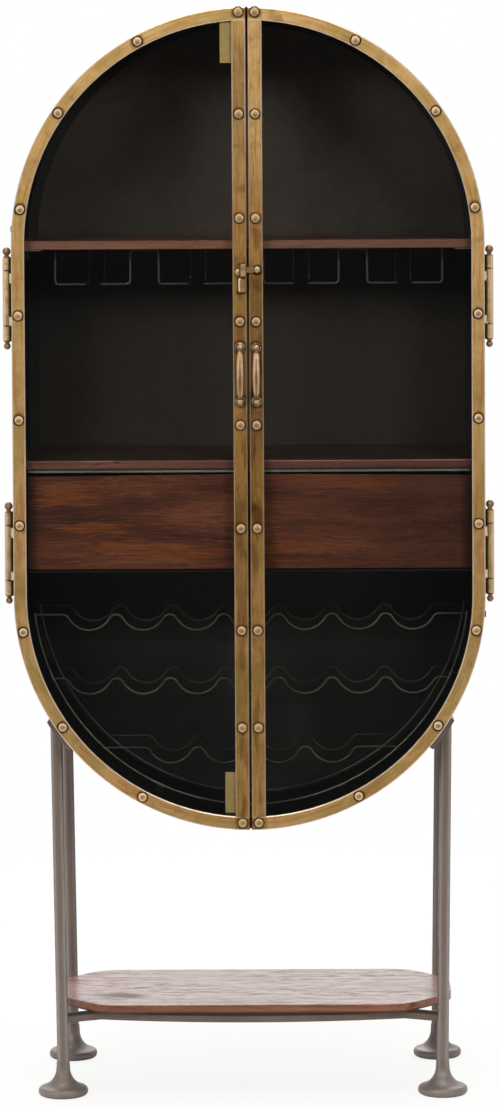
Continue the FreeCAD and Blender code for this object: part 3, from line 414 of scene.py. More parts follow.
def black_sheet(name, col, rough=(0.30, 0.44), dust=0.10, spec=0.5):
    g = G(name)
    p = g.obj()
    big = g.noise(p, 3.2, 3.0, 0.5, 0.5)
    peel = g.noise(p, 620.0, 2.0, 0.5)
    smear = g.noise(g.scale(p, 9.0, 9.0, 3.0), 1.0, 4.0, 0.65, 0.6)
    base = g.ramp(big, [(0.3, col), (0.75, tuple(min(1, c * 1.7 + 0.001) for c in col[:3]) + (1,))])
    base = g.mix(g.rng(smear, 0.55, 0.8, 0.0, dust), base, lin(92, 86, 78))
    g.principled(Metallic=0.0, Specular_IOR_Level=spec)
    g.put(g.p.inputs["Base Color"], base)
    g.put(g.p.inputs["Roughness"], g.m("ADD", g.rng(smear, 0.35, 0.7, rough[0], rough[1]), g.rng(peel, 0.3, 0.7, 0.0, 0.03)))
    g.put(g.p.inputs["Normal"], g.bump(peel, 0.05, 0.0003))
    return g.mat


def rail_metal():
    """Case plate: painted shade on its thin top edge under the shelf and on all faces behind the turned-down lip,
    which keeps the paler grey.
    """
    g = G("case_metal")
    p = g.obj()
    x, y, z = g.xyz(p)
    smear = g.noise(g.scale(p, 9.0, 9.0, 9.0), 1.0, 4.0, 0.65, 0.6)
    scuff = g.noise(g.scale(p, 60.0, 300.0, 700.0), 1.0, 3.0, 0.6)
    base = g.ramp(smear, [(0.3, lin(114, 114, 104)), (0.7, lin(148, 148, 136))])
    base = g.mix(g.rng(scuff, 0.56, 0.74, 0.0, 0.45), base, lin(76, 78, 72))
    # painted shade: dark top edge under the shelf, dark behind the front lip
    base = g.mix(g.rng(z, 1.0124, 1.0130, 0.0, 0.94), base, lin(22, 22, 20))
    base = g.mix(g.rng(y, YS + 0.0100, YS + 0.0125, 0.0, 0.90), base, lin(34, 34, 32))
    g.principled(Metallic=0.0, Specular_IOR_Level=0.5)
    g.put(g.p.inputs["Base Color"], base)
    g.put(g.p.inputs["Roughness"], g.rng(scuff, 0.3, 0.7, 0.32, 0.48))
    g.put(g.p.inputs["Normal"], g.bump(scuff, 0.05, 0.0003))
    return g.mat


def back_panel():
    """Inside of the black back: painted light, paler above the drawers and darker below them, with dust haze and
    specks over it.
    """
    g = G("black_panel")
    p = g.obj()
    x, y, z = g.xyz(p)
    cloud = g.noise(p, 4.2, 4.0, 0.55, 0.6)
    haze = g.noise(g.scale(p, 7.0, 7.0, 2.2), 1.0, 4.0, 0.6, 0.4)
    speck = g.voronoi(p, 95.0)
    speck2 = g.noise(p, 900.0, 2.0, 0.5)
    # painted light: warm and paler above the drawers, darker below, lifted further by height above z 1.38, more in the
    # crown, and between z 0.64 and 1.0
    up = g.rng(z, 0.97, 1.05, 0.0, 1.0)
    warm = g.ramp(cloud, [(0.28, (0.032, 0.0245, 0.0178, 1)), (0.52, (0.0465, 0.0355, 0.0262, 1)), (0.76, (0.061, 0.0470, 0.0355, 1))])
    cool = g.ramp(haze, [(0.3, (0.0095, 0.0092, 0.0084, 1)), (0.56, (0.0135, 0.0125, 0.0108, 1)), (0.76, (0.024, 0.0195, 0.0150, 1))])
    painted_lift = g.m("ADD", 1.0, g.m("ADD", g.rng(z, 1.375, 1.40, 0.0, 0.44), g.rng(z, 1.56, 1.72, 0.0, 1.85)))
    painted_lift = g.m("ADD", painted_lift, g.m("MULTIPLY", g.rng(z, 0.64, 0.80, 0.0, 2.05), g.rng(z, 0.97, 1.02, 1.0, 0.0)))
    base = g.mix(up, cool, warm)
    sc = g.n("ShaderNodeVectorMath", operation="SCALE")
    g.put(sc.inputs[0], base)
    g.put(sc.inputs["Scale"], painted_lift)
    base = sc.outputs[0]
    base = g.mix(g.rng(haze, 0.55, 0.75, 0.0, 0.35), base, (0.062, 0.056, 0.050, 1))
    mott = g.noise(g.scale(p, 75.0, 75.0, 60.0), 1.0, 4.0, 0.6)
    base = g.mix(g.rng(mott, 0.36, 0.64, 0.16, 0.0), base, (0.008, 0.007, 0.006, 1))
    dots = g.m("MULTIPLY", g.rng(speck, 0.045, 0.015, 0.0, 1.0), g.rng(cloud, 0.45, 0.6, 0.0, 0.55))
    base = g.mix(dots, base, (0.16, 0.15, 0.135, 1))
    # the outer face is plain black sheet
    outer = g.ramp(cloud, [(0.3, (0.0085, 0.0082, 0.0078, 1)), (0.75, (0.0150, 0.0145, 0.0138, 1))])
    base = g.mix(g.rng(y, BACK_Y - 0.0008, BACK_Y - 0.0004), base, outer)
    g.principled(Metallic=0.0, Specular_IOR_Level=0.25)
    g.put(g.p.inputs["Base Color"], base)
    g.put(g.p.inputs["Roughness"], g.rng(haze, 0.3, 0.7, 0.48, 0.62))
    g.put(g.p.inputs["Normal"], g.bump(speck2, 0.06, 0.0003))
    return g.mat


def wood(name, dark, mid, light, amber, rough=(0.32, 0.48), coat=0.0, freq=1.0, seed=0.0, contrast=1.0, amber_amount=0.55,
         coat_rough=0.2, spec=0.5, top_marks=False, dark_above=None, dark_right=0.0):
    """Lacquered hardwood with the grain along X, the same field on all faces of a board."""
    g = G(name)
    p = g.vadd(g.obj(), seed, seed * 0.37, seed * 0.61)
    warp = g.noise(g.scale(p, 1.6, 6.0, 6.0), 1.0, 3.0, 0.5)
    x, y, z = g.xyz(p)
    w = g.m("MULTIPLY", g.m("SUBTRACT", warp, 0.5), 0.05)
    q = g.vec(x, g.m("ADD", y, w), g.m("ADD", z, w))
    bands = g.noise(g.scale(q, 1.1 * freq, 34.0 * freq, 34.0 * freq), 1.0, 4.0, 0.62)
    streak = g.noise(g.scale(q, 3.0 * freq, 190.0 * freq, 190.0 * freq), 1.0, 3.0, 0.6)
    fibre = g.noise(g.scale(q, 16.0, 900.0, 900.0), 1.0, 2.0, 0.6)
    pore = g.noise(g.scale(q, 42.0, 1300.0, 1300.0), 1.0, 1.0, 0.5)
    blot = g.noise(g.scale(p, 2.4, 9.0, 9.0), 1.0, 3.0, 0.55)
    t = g.m("ADD", g.m("MULTIPLY", bands, 0.62), g.m("MULTIPLY", streak, 0.38))
    t = g.m("ADD", g.m("MULTIPLY", g.m("SUBTRACT", t, 0.5), contrast), 0.5)
    base = g.ramp(t, [(0.30, dark), (0.5, mid), (0.70, light)])
    base = g.mix(g.m("MULTIPLY", g.rng(blot, 0.5, 0.72, 0.0, 1.0), amber_amount), base, amber)
    base = g.mix(g.rng(fibre, 0.35, 0.75, 0.0, 0.30), base, dark)
    base = g.mix(g.rng(pore, 0.62, 0.70, 0.0, 0.65), base, tuple(c * 0.45 for c in dark[:3]) + (1,))
    if dark_right:
        base = g.mix(g.rng(g.xyz(g.obj())[0], -0.04, 0.12, 0.0, dark_right), base, lin(40, 30, 28))
    if dark_above is not None:
        kx, _, oz = g.xyz(g.obj())
        # painted highlight along the front's upper arris, with dark knots just below it
        arris = g.m("MULTIPLY", g.rng(oz, dark_above - 0.0024, dark_above - 0.0014), g.rng(streak, 0.40, 0.55, 0.25, 0.75))
        base = g.mix(arris, base, lin(206, 160, 134))
        for cx, cz, rx in ((-0.243, dark_above - 0.0056, 0.0065), (-0.211, dark_above - 0.0036, 0.0050), (0.148, dark_above - 0.0066, 0.0040)):
            du = g.m("DIVIDE", g.m("SUBTRACT", kx, cx), rx)
            dv = g.m("DIVIDE", g.m("SUBTRACT", oz, cz), 0.0013)
            kd = g.m("ADD", g.m("SQRT", g.m("ADD", g.m("MULTIPLY", du, du), g.m("MULTIPLY", dv, dv))), g.rng(streak, 0.3, 0.7, -0.4, 0.4))
            base = g.mix(g.rng(kd, 0.6, 1.3, 0.85, 0.0), base, lin(30, 17, 13))
        # painted shade: the top face and the edge's topmost strip painted almost black
        base = g.mix(g.rng(oz, dark_above - 0.0006, dark_above, 0.0, 0.82), base, lin(30, 24, 20))
    g.principled(Metallic=0.0, Coat_Weight=coat, Coat_Roughness=coat_rough, Specular_IOR_Level=spec)
    if top_marks:
        ox, oy, oz = g.xyz(g.obj())
        # painted sheen: the top face is painted paler than the edges
        on_top = g.rng(oz, 0.1445, 0.1458, 0.0, 1.0)
        base = g.mix(g.m("MULTIPLY", on_top, 0.45), base, lin(176, 136, 124))
        # open grain and one worn patch, where the lacquer has lost its gloss
        fleck = g.m("ADD", g.m("MULTIPLY", g.noise(g.scale(q, 4.0, 92.0, 0.0), 1.0, 5.0, 0.72), 0.42),
                    g.m("MULTIPLY", g.noise(g.scale(q, 26.0, 120.0, 0.0), 1.0, 5.0, 0.74), 0.58))
        cloud = g.noise(g.scale(p, 5.0, 11.0, 0.0), 1.0, 3.0, 0.55, 0.4)
        flat = g.m("MULTIPLY", g.rng(fleck, 0.45, 0.56, 0.0, 0.85), g.rng(cloud, 0.34, 0.58, 0.74, 1.0))
        sm = g.n("ShaderNodeVectorMath", operation="MULTIPLY")
        g.put(sm.inputs[0], g.vadd(g.obj(), 0.214, 0.040, 0.0))
        sm.inputs[1].default_value = (0.74, 1.10, 0.0)
        ln = g.n("ShaderNodeVectorMath", operation="LENGTH")
        g.put(ln.inputs[0], sm.outputs[0])
        worn = g.m("ADD", ln.outputs["Value"], g.rng(fleck, 0.36, 0.64, 0.020, -0.020))
        patch = g.rng(worn, 0.010, 0.054, 0.92, 0.0)
        mask = g.m("MULTIPLY", on_top, g.m("MAXIMUM", flat, patch))
        grey = g.m("MAXIMUM", g.m("MULTIPLY", mask, 0.42), g.m("MULTIPLY", g.m("MULTIPLY", on_top, patch), 0.70))
        base = g.mix(grey, base, lin(62, 46, 43))
        # the edges are drier than the face, and painted shade darkens them along the lower arris
        base = g.mix(g.rng(oz, 0.1338, 0.1362, 0.70, 0.0), base, lin(46, 26, 20))
        keep = g.m("MULTIPLY", g.m("SUBTRACT", 1.0, mask), g.rng(oz, 0.1446, 0.1458, 0.25, 1.0))
        g.put(g.p.inputs["Coat Weight"], g.m("MULTIPLY", keep, coat))
        g.put(g.p.inputs["Specular IOR Level"], g.m("MULTIPLY", keep, spec))
    g.put(g.p.inputs["Base Color"], base)
    g.put(g.p.inputs["Roughness"], g.m("ADD", g.rng(blot, 0.3, 0.7, rough[0], rough[1]), g.rng(fibre, 0.3, 0.7, 0.0, 0.06)))
    b = g.bump(fibre, 0.10, 0.0004)
    b = g.bump(pore, 0.25, 0.0003, b)
    g.put(g.p.inputs["Normal"], b)
    return g.mat


def drawer_wood():
    """Figured hardwood fronts: red-brown with short dark grain dashes, amber areas and painted shade at the outer
    ends.
    """
    g = G("drawer_wood")
    x0, _, z0 = g.xyz(g.obj())
    p = g.vadd(g.obj(), 1.7, 0.6, 1.0)
    warp = g.noise(g.scale(p, 2.2, 5.0, 5.0), 1.0, 3.0, 0.55)
    x, y, z = g.xyz(p)
    w = g.m("MULTIPLY", g.m("SUBTRACT", warp, 0.5), 0.05)
    q = g.vec(x, g.m("ADD", y, w), g.m("ADD", z, w))
    broad = g.noise(g.scale(q, 3.4, 20.0, 20.0), 1.0, 3.0, 0.55, 0.3)
    bands = g.noise(g.scale(q, 3.2, 80.0, 80.0), 1.0, 4.0, 0.62)
    dash = g.noise(g.scale(q, 30.0, 420.0, 420.0), 1.0, 3.0, 0.6)
    fibre = g.noise(g.scale(q, 30.0, 1100.0, 1100.0), 1.0, 2.0, 0.6)
    speck = g.noise(g.scale(q, 90.0, 900.0, 900.0), 1.0, 1.0, 0.5)
    base = g.ramp(broad, [(0.32, lin(90, 46, 30)), (0.50, lin(118, 64, 42)), (0.68, lin(142, 83, 54))])
    # amber areas with ragged ends
    best = None
    for cx, cz, hx, hz in ((-0.290, 0.974, 0.042, 0.018), (-0.250, 0.922, 0.046, 0.010), (-0.120, 0.879, 0.070, 0.012),
                           (0.068, 0.884, 0.052, 0.015), (0.200, 0.992, 0.040, 0.005), (-0.215, 0.893, 0.030, 0.006)):
        u = g.m("DIVIDE", g.m("SUBTRACT", x0, cx), hx)
        v = g.m("DIVIDE", g.m("SUBTRACT", g.m("ADD", z0, w), cz), hz)
        d = g.m("SQRT", g.m("ADD", g.m("MULTIPLY", u, u), g.m("MULTIPLY", v, v)))
        best = d if best is None else g.m("MINIMUM", best, d)
    fine = g.noise(g.vec(g.m("MULTIPLY", x, 17.0), g.m("MULTIPLY", g.m("ADD", y, w), 560.0), g.m("MULTIPLY", g.m("ADD", z, w), 560.0)), 1.0, 3.0, 0.65)
    best = g.m("ADD", best, g.rng(bands, 0.35, 0.65, -0.45, 0.45))
    best = g.m("ADD", best, g.rng(fine, 0.35, 0.65, -0.35, 0.35))
    base = g.mix(g.rng(best, 0.45, 1.50, 0.85, 0.0), base, lin(148, 80, 32))
    base = g.mix(g.rng(bands, 0.50, 0.68, 0.0, 0.50), base, lin(66, 34, 24))
    base = g.mix(g.rng(bands, 0.47, 0.31, 0.0, 0.48), base, lin(150, 92, 64))
    base = g.mix(g.rng(fine, 0.52, 0.68, 0.0, 0.62), base, lin(54, 29, 22))
    base = g.mix(g.rng(fine, 0.46, 0.30, 0.0, 0.50), base, lin(164, 104, 74))
    base = g.mix(g.rng(dash, 0.55, 0.68, 0.0, 0.40), base, lin(48, 28, 20))
    base = g.mix(g.rng(speck, 0.60, 0.74, 0.0, 0.30), base, lin(40, 25, 20))
    base = g.mix(g.rng(fibre, 0.40, 0.72, 0.0, 0.20), base, lin(72, 42, 32))
    # painted shade at the fronts' outer ends, beside the door frame
    base = g.mix(g.rng(g.m("ABSOLUTE", x0), 0.334, 0.357, 0.0, 0.60), base, lin(44, 30, 22))
    # broad darker fields: the right-hand front's outer half, a slanting one on the left-hand front
    base = g.mix(g.rng(x0, 0.14, 0.28, 0.0, 0.50), base, lin(56, 30, 17))
    base = g.mix(g.rng(x0, 0.0, 0.03, 0.0, 0.16), base, lin(42, 21, 12))
    slant = g.m("ABSOLUTE", g.m("SUBTRACT", g.m("ADD", z0, g.m("MULTIPLY", x0, -0.16)), 0.985))
    base = g.mix(g.m("MULTIPLY", g.rng(slant, 0.006, 0.020, 0.30, 0.0), g.rng(x0, -0.05, -0.02, 1.0, 0.0)), base, lin(54, 32, 24))
    g.principled(Metallic=0.0, Coat_Weight=0.02, Coat_Roughness=0.25, Specular_IOR_Level=0.18)
    g.put(g.p.inputs["Base Color"], base)
    g.put(g.p.inputs["Roughness"], g.rng(bands, 0.3, 0.7, 0.42, 0.54))
    b = g.bump(fibre, 0.10, 0.0004)
    g.put(g.p.inputs["Normal"], g.bump(dash, 0.20, 0.0003, b))
    return g.mat


def paint(name, col, light, rough=(0.38, 0.52), metallic=0.0, cast=0.0, spec=0.5, wear=0.3, shade=None, neck=False):
    """Painted iron: faint brush marks, a little wear and, on castings, a pitted skin."""
    g = G(name)
    p = g.obj()
    big = g.noise(p, 9.0, 4.0, 0.6, 0.4)
    fine = g.noise(p, 260.0, 3.0, 0.6)
    pits = g.noise(p, 700.0, 2.0, 0.5)
    base = g.ramp(big, [(0.3, col), (0.7, light)])
    base = g.mix(g.rng(fine, 0.55, 0.8, 0.0, wear), base, tuple(c * 0.5 for c in col[:3]) + (1,))
    if neck:
        # the socket carries on the leg's painted highlight bands and painted edge shade
        x, _, z = g.xyz(p)
        u = g.m("ABSOLUTE", g.m("DIVIDE", g.m("SUBTRACT", g.m("ABSOLUTE", x), 0.3065), 0.0108))
        u = g.m("ADD", u, g.rng(fine, 0.3, 0.7, -0.06, 0.06))
        side = g.ramp(u, [(0.0, lin(106, 92, 82)), (0.34, lin(111, 96, 86)), (0.58, lin(138, 126, 119)), (0.80, lin(134, 122, 116)), (0.93, lin(84, 74, 67)), (1.0, lin(62, 54, 49))])
        base = g.mix(g.rng(z, 0.034, 0.052, 0.0, 0.85), base, side)
    if shade:
        # painted shadow: a dark band at the given heights, along the top of the bar under the lower shelf
        _, _, z = g.xyz(p)
        base = g.mix(g.rng(z, shade[0], shade[1], 0.0, 0.93), base, lin(20, 17, 15))
    g.principled(Metallic=metallic, Specular_IOR_Level=spec)
    g.put(g.p.inputs["Base Color"], base)
    g.put(g.p.inputs["Roughness"], g.m("ADD", g.rng(big, 0.3, 0.7, rough[1], rough[0]), g.rng(fine, 0.3, 0.7, 0.0, 0.05)))
    b = g.bump(fine, 0.06, 0.0005)
    if cast:
        b = g.bump(pits, cast, 0.0006, b)
    g.put(g.p.inputs["Normal"], b)
    return g.mat


def leg_paint():
    """Painted tube with painted highlights down its sides, darker along the middle and painted shade at the very edge.
    """
    g = G("leg_iron")
    p = g.obj()
    x, y, z = g.xyz(p)
    big = g.noise(p, 9.0, 4.0, 0.6, 0.4)
    run = g.noise(g.scale(p, 130.0, 130.0, 9.0), 1.0, 3.0, 0.6)
    fine = g.noise(p, 260.0, 3.0, 0.6)
    axis = g.m("ADD", 0.3065, g.m("MULTIPLY", g.m("SUBTRACT", z, 0.055), 0.01284))
    u = g.m("ABSOLUTE", g.m("DIVIDE", g.m("SUBTRACT", g.m("ABSOLUTE", x), axis), 0.0095))
    u = g.m("ADD", u, g.rng(run, 0.3, 0.7, -0.07, 0.07))
    # painted light: pale highlight bands down both sides, painted shade at the outer edge
    base = g.ramp(u, [(0.0, lin(106, 92, 82)), (0.34, lin(111, 96, 86)), (0.58, lin(140, 128, 121)), (0.80, lin(138, 126, 120)), (0.93, lin(80, 70, 63)), (1.0, lin(56, 48, 44))])
    base = g.mix(g.rng(big, 0.35, 0.7, 0.0, 0.30), base, lin(132, 119, 110))
    base = g.mix(g.rng(run, 0.55, 0.75, 0.0, 0.30), base, lin(98, 80, 70))
    base = g.mix(g.rng(y, -0.04, 0.04, 0.0, 0.17), base, lin(48, 36, 28))
    base = g.mix(g.rng(fine, 0.55, 0.8, 0.0, 0.30), base, lin(62, 54, 49))
    g.principled(Metallic=0.0, Specular_IOR_Level=0.45)
    g.put(g.p.inputs["Base Color"], base)
    g.put(g.p.inputs["Roughness"], g.m("ADD", g.rng(big, 0.3, 0.7, 0.40, 0.28), g.rng(fine, 0.3, 0.7, 0.0, 0.05)))
    g.put(g.p.inputs["Normal"], g.bump(fine, 0.06, 0.0005))
    return g.mat


def wire_paint(name, dark, light, metallic, rear_shade, coat=0.0):
    """Drawn wire, with painted shade darkening it towards the back of the racks."""
    g = G(name)
    p = g.obj()
    x, y, z = g.xyz(p)
    big = g.noise(p, 14.0, 3.0, 0.6, 0.4)
    fine = g.noise(p, 500.0, 2.0, 0.5)
    base = g.ramp(big, [(0.3, dark), (0.7, light)])
    base = g.mix(g.rng(fine, 0.58, 0.8, 0.0, 0.35), base, lin(44, 42, 38))
    # painted shade towards the back
    base = g.mix(g.rng(y, -0.045, 0.020, 0.0, rear_shade), base, lin(26, 25, 22))
    zr = g.m("SUBTRACT", z, ZB)
    r = g.m("SQRT", g.m("ADD", g.m("MULTIPLY", x, x), g.m("MULTIPLY", zr, zr)))
    base = g.mix(g.rng(r, 0.3546, 0.3556, 0.0, 0.95), base, lin(16, 15, 14))
    g.principled(Metallic=metallic, Coat_Weight=coat, Coat_Roughness=0.22)
    g.put(g.p.inputs["Base Color"], base)
    g.put(g.p.inputs["Roughness"], g.rng(big, 0.3, 0.7, 0.30, 0.42))
    g.put(g.p.inputs["Normal"], g.bump(fine, 0.06, 0.0003))
    return g.mat


def glass():
    """Thin clear pane: what lies behind shows through, with the surface's own gloss over it."""
    g = G("clear_glass")
    p = g.obj()
    smear = g.noise(g.scale(p, 5.0, 5.0, 2.0), 1.0, 4.0, 0.6, 0.5)
    through = g.n("ShaderNodeBsdfTransparent")
    through.inputs["Color"].default_value = (0.955, 0.955, 0.945, 1.0)
    gloss = g.n("ShaderNodeBsdfGlossy")
    gloss.inputs["Color"].default_value = (1.0, 1.0, 1.0, 1.0)
    g.put(gloss.inputs["Roughness"], g.rng(smear, 0.3, 0.7, 0.015, 0.05))
    fres = g.n("ShaderNodeFresnel")
    fres.inputs["IOR"].default_value = 1.36
    mixer = g.n("ShaderNodeMixShader")
    g.put(mixer.inputs[0], fres.outputs[0])
    g.nt.links.new(through.outputs[0], mixer.inputs[1])
    g.nt.links.new(gloss.outputs[0], mixer.inputs[2])
    g.nt.links.new(mixer.outputs[0], g.out.inputs["Surface"])
    return g.mat


HINGE_JOINTS = [hz + k for hz in HINGE_Z for k in (-0.071, -0.0464, 0.0416, 0.0632)]
BOSS_SPOTS = [(STILE_X, HANDLE_Z + s * HANDLE_C / 2, 0.0052, 0.0068) for s in (-1, 1)]

M = {
    "frame": brass_frame(),
    "rivet": rivet_brass(),
    "ring": patina_ring(),
    "handle": brass_plain("handle_brass", lin(186, 156, 118), lin(152, 122, 84), lin(66, 44, 28), (0.40, 0.52), 0.5, metallic=0.7, zstreak=True,
                          spots=BOSS_SPOTS, grip=True),
    "latch": brass_plain("latch_brass", lin(176, 146, 98), lin(146, 116, 70), lin(70, 48, 28), (0.40, 0.50), 0.45, keeper=True),
    "hook": brass_plain("hook_brass", lin(158, 126, 96), lin(128, 99, 70), lin(64, 44, 30), (0.42, 0.52), 0.40),
    "screw": brass_plain("screw_brass", lin(214, 186, 150), lin(170, 140, 102), lin(52, 36, 22), (0.42, 0.52), 0.80, metallic=0.65),
    "hinge": brass_plain("hinge_brass", lin(210, 182, 134), lin(178, 146, 94), lin(84, 58, 34), (0.34, 0.46), 0.45, zstreak=True, joints=HINGE_JOINTS, shaded=True),
    "pin": brass_plain("pin_brass", lin(164, 130, 98), lin(130, 98, 68), lin(52, 36, 26), (0.36, 0.48), 0.5),
    "dull": brass_plain("dull_brass", lin(206, 180, 118), lin(190, 162, 102), lin(120, 96, 56), (0.5, 0.6), 0.3, metallic=0.7),
    "black": black_sheet("black_sheet", (0.0085, 0.0082, 0.0078, 1), (0.46, 0.58), 0.10, spec=0.3),
    "panel": back_panel(),
    "case": rail_metal(),
    # painted light: the cleats are painted a pale grey so that they show up in the shade under the top shelf
    "cleat": black_sheet("cleat_metal", (0.20, 0.20, 0.185, 1), (0.4, 0.5), 0.12),
    "tray": black_sheet("tray_metal", (0.006, 0.006, 0.0058, 1), (0.46, 0.56), 0.04, spec=0.25),
    "retainer": black_sheet("retainer_black", (0.009, 0.009, 0.0088, 1), (0.4, 0.5), 0.05),
    "plastic": black_sheet("catch_plastic", (0.014, 0.014, 0.014, 1), (0.5, 0.6), 0.04),
    "shelf": wood("shelf_wood", lin(74, 35, 24), lin(126, 71, 51), lin(156, 98, 71), lin(150, 86, 52), (0.40, 0.52), 0.10, seed=0.3, dark_above=1.0286),
    # painted light: the top shelf uses a paler copy of the middle shelf's wood, for the stronger light on it
    "top_shelf": wood("top_shelf_wood", lin(92, 48, 36), lin(148, 92, 70), lin(182, 124, 98), lin(170, 108, 72), (0.40, 0.52), 0.10, seed=0.9, dark_right=0.26),
    "drawer": drawer_wood(),
    "inner": wood("drawer_box_wood", lin(92, 60, 40), lin(138, 98, 66), lin(166, 124, 88), lin(160, 110, 66), (0.5, 0.6), 0.0, seed=2.9),
    "lower": wood("lower_shelf_wood", lin(82, 46, 32), lin(134, 84, 60), lin(164, 114, 88), lin(156, 96, 58), (0.26, 0.36), 0.6, seed=4.4, spec=0.8,
                  top_marks=True),
    "wire": wire_paint("rack_wire", lin(84, 83, 76), lin(112, 110, 101), 0.85, 0.58),
    "arc": wire_paint("arc_wire", lin(110, 108, 99), lin(134, 132, 121), 0.80, 0.52),
    # painted light: the stem hangers are painted almost white, brighter than the real wire, to stand in for light on
    # them
    "hanger": wire_paint("hanger_wire", lin(248, 250, 242), lin(255, 255, 252), 0.0, 0.92, coat=1.0),
    "iron": paint("stand_iron", lin(116, 102, 94), lin(136, 122, 113), (0.28, 0.40), 0.40),
    "leg": leg_paint(),
    "foot": paint("foot_iron", lin(112, 101, 95), lin(136, 125, 118), (0.34, 0.46), 0.35, cast=0.5, neck=True),
    "bar": paint("bar_iron", lin(94, 79, 69), lin(110, 95, 84), (0.34, 0.46), 0.25, shade=(0.1252, 0.1280)),
    "dark": paint("dark_screw", lin(40, 38, 36), lin(60, 57, 54), (0.35, 0.45), 0.6),
    "glass": glass(),
}

ASSIGN = {
    "body_top_arch": "black", "body_bottom_arch": "black", "body_left_side": "black", "body_right_side": "black",
    "back_panel": "panel", "body_screws": "dark", "magnet_catches": "plastic",
    "top_shelf": "top_shelf", "middle_shelf": "shelf", "top_shelf_cleats": "cleat",
    "drawer_case_top": "case", "drawer_case_tray": "tray", "drawer_case_divider": "tray",
    "lower_shelf": "lower", "lower_shelf_fixings": "dark",
    "strike_plates": "dull", "latch_keeper": "latch", "latch_hook": "hook",
    "hinge_leaves": "hinge", "hinge_pins": "pin",
    "feet_front": "foot", "feet_rear": "foot",
    "stretcher_front": "bar", "stretcher_rear": "bar",
}
for name, o in nodes.items():
    key = ASSIGN.get(name)
    if key is None:
        if name.endswith("door_face"):
            key = "frame"
        elif name.endswith("door_rim"):
            key = "frame"
        elif name.endswith("door_glass"):
            key = "glass"
        elif name.endswith("glass_retainer"):
            key = "retainer"
        elif name.endswith("rivets"):
            key = "rivet"
        elif name.endswith("door_screws"):
            key = "screw"
        elif name.endswith("hinge_knuckles"):
            key = "hinge"
        elif name.endswith("handle"):
            key = "handle"
        elif name.endswith("drawer_front"):
            key = "drawer"
        elif name.endswith(("drawer_frame", "drawer_bottom")):
            key = "inner"
        elif name.startswith("stem_hanger"):
            key = "hanger"
        elif name.startswith("wine_arc"):
            key = "arc"
        elif name.startswith("wine_"):
            key = "wire"
        elif name.startswith("leg_"):
            key = "leg"
        else:
            key = "iron"
    o.data.materials.clear()
    o.data.materials.append(M[key])


# ------------------------------------------------------------------ small pieces
def add_mesh(name, bm, mat, body):
    me = bpy.data.meshes.new(name)
    bm.normal_update()
    bm.to_mesh(me)
    bm.free()
    for poly in me.polygons:
        poly.use_smooth = True
    o = bpy.data.objects.new(name, me)
    scene.collection.objects.link(o)
    o.data.materials.append(mat)
    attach(o, body)
    return o


def ring_into(bm, cx, y, cz, r0, r1, h, n=40):
    """A low ring with a rounded top that stands on the plane y and faces -Y."""
    prof = [(r0, 0.0), (r0, h * 0.7), (r0 + (r1 - r0) * 0.3, h), (r1 - (r1 - r0) * 0.35, h), (r1, h * 0.35), (r1, 0.0)]
    rows = []
    for k in range(n):
        a = 2 * math.pi * k / n
        rows.append([bm.verts.new((cx + r * math.cos(a), y - d, cz + r * math.sin(a))) for r, d in prof])
    m = len(prof)
    for k in range(n):
        a, b = rows[k], rows[(k + 1) % n]
        for i in range(m):
            j = (i + 1) % m
            bm.faces.new((a[i], a[j], b[j], b[i]))


for name, s in (("left", -1), ("right", 1)):
    bm = bmesh.new()
    for x, z in RIVETS:
        ring_into(bm, s * x, DOOR_F + 0.0001, z, 0.0070, 0.0091, 0.0006)
    for t in (-1, 1):
        ring_into(bm, s * STILE_X, DOOR_F + 0.0001, HANDLE_Z + t * HANDLE_C / 2, 0.0083, 0.0094, 0.0006)
    bmesh.ops.recalc_face_normals(bm, faces=bm.faces)
    add_mesh(name + "_rivet_rings", bm, M["ring"], name + "_door")

bm = bmesh.new()
ring_into(bm, LATCH_X, DOOR_F - 0.00695, LATCH_Z, 0.0050, 0.0064, 0.0006)
bmesh.ops.recalc_face_normals(bm, faces=bm.faces)
add_mesh("hook_washer", bm, M["ring"], "latch_hook")

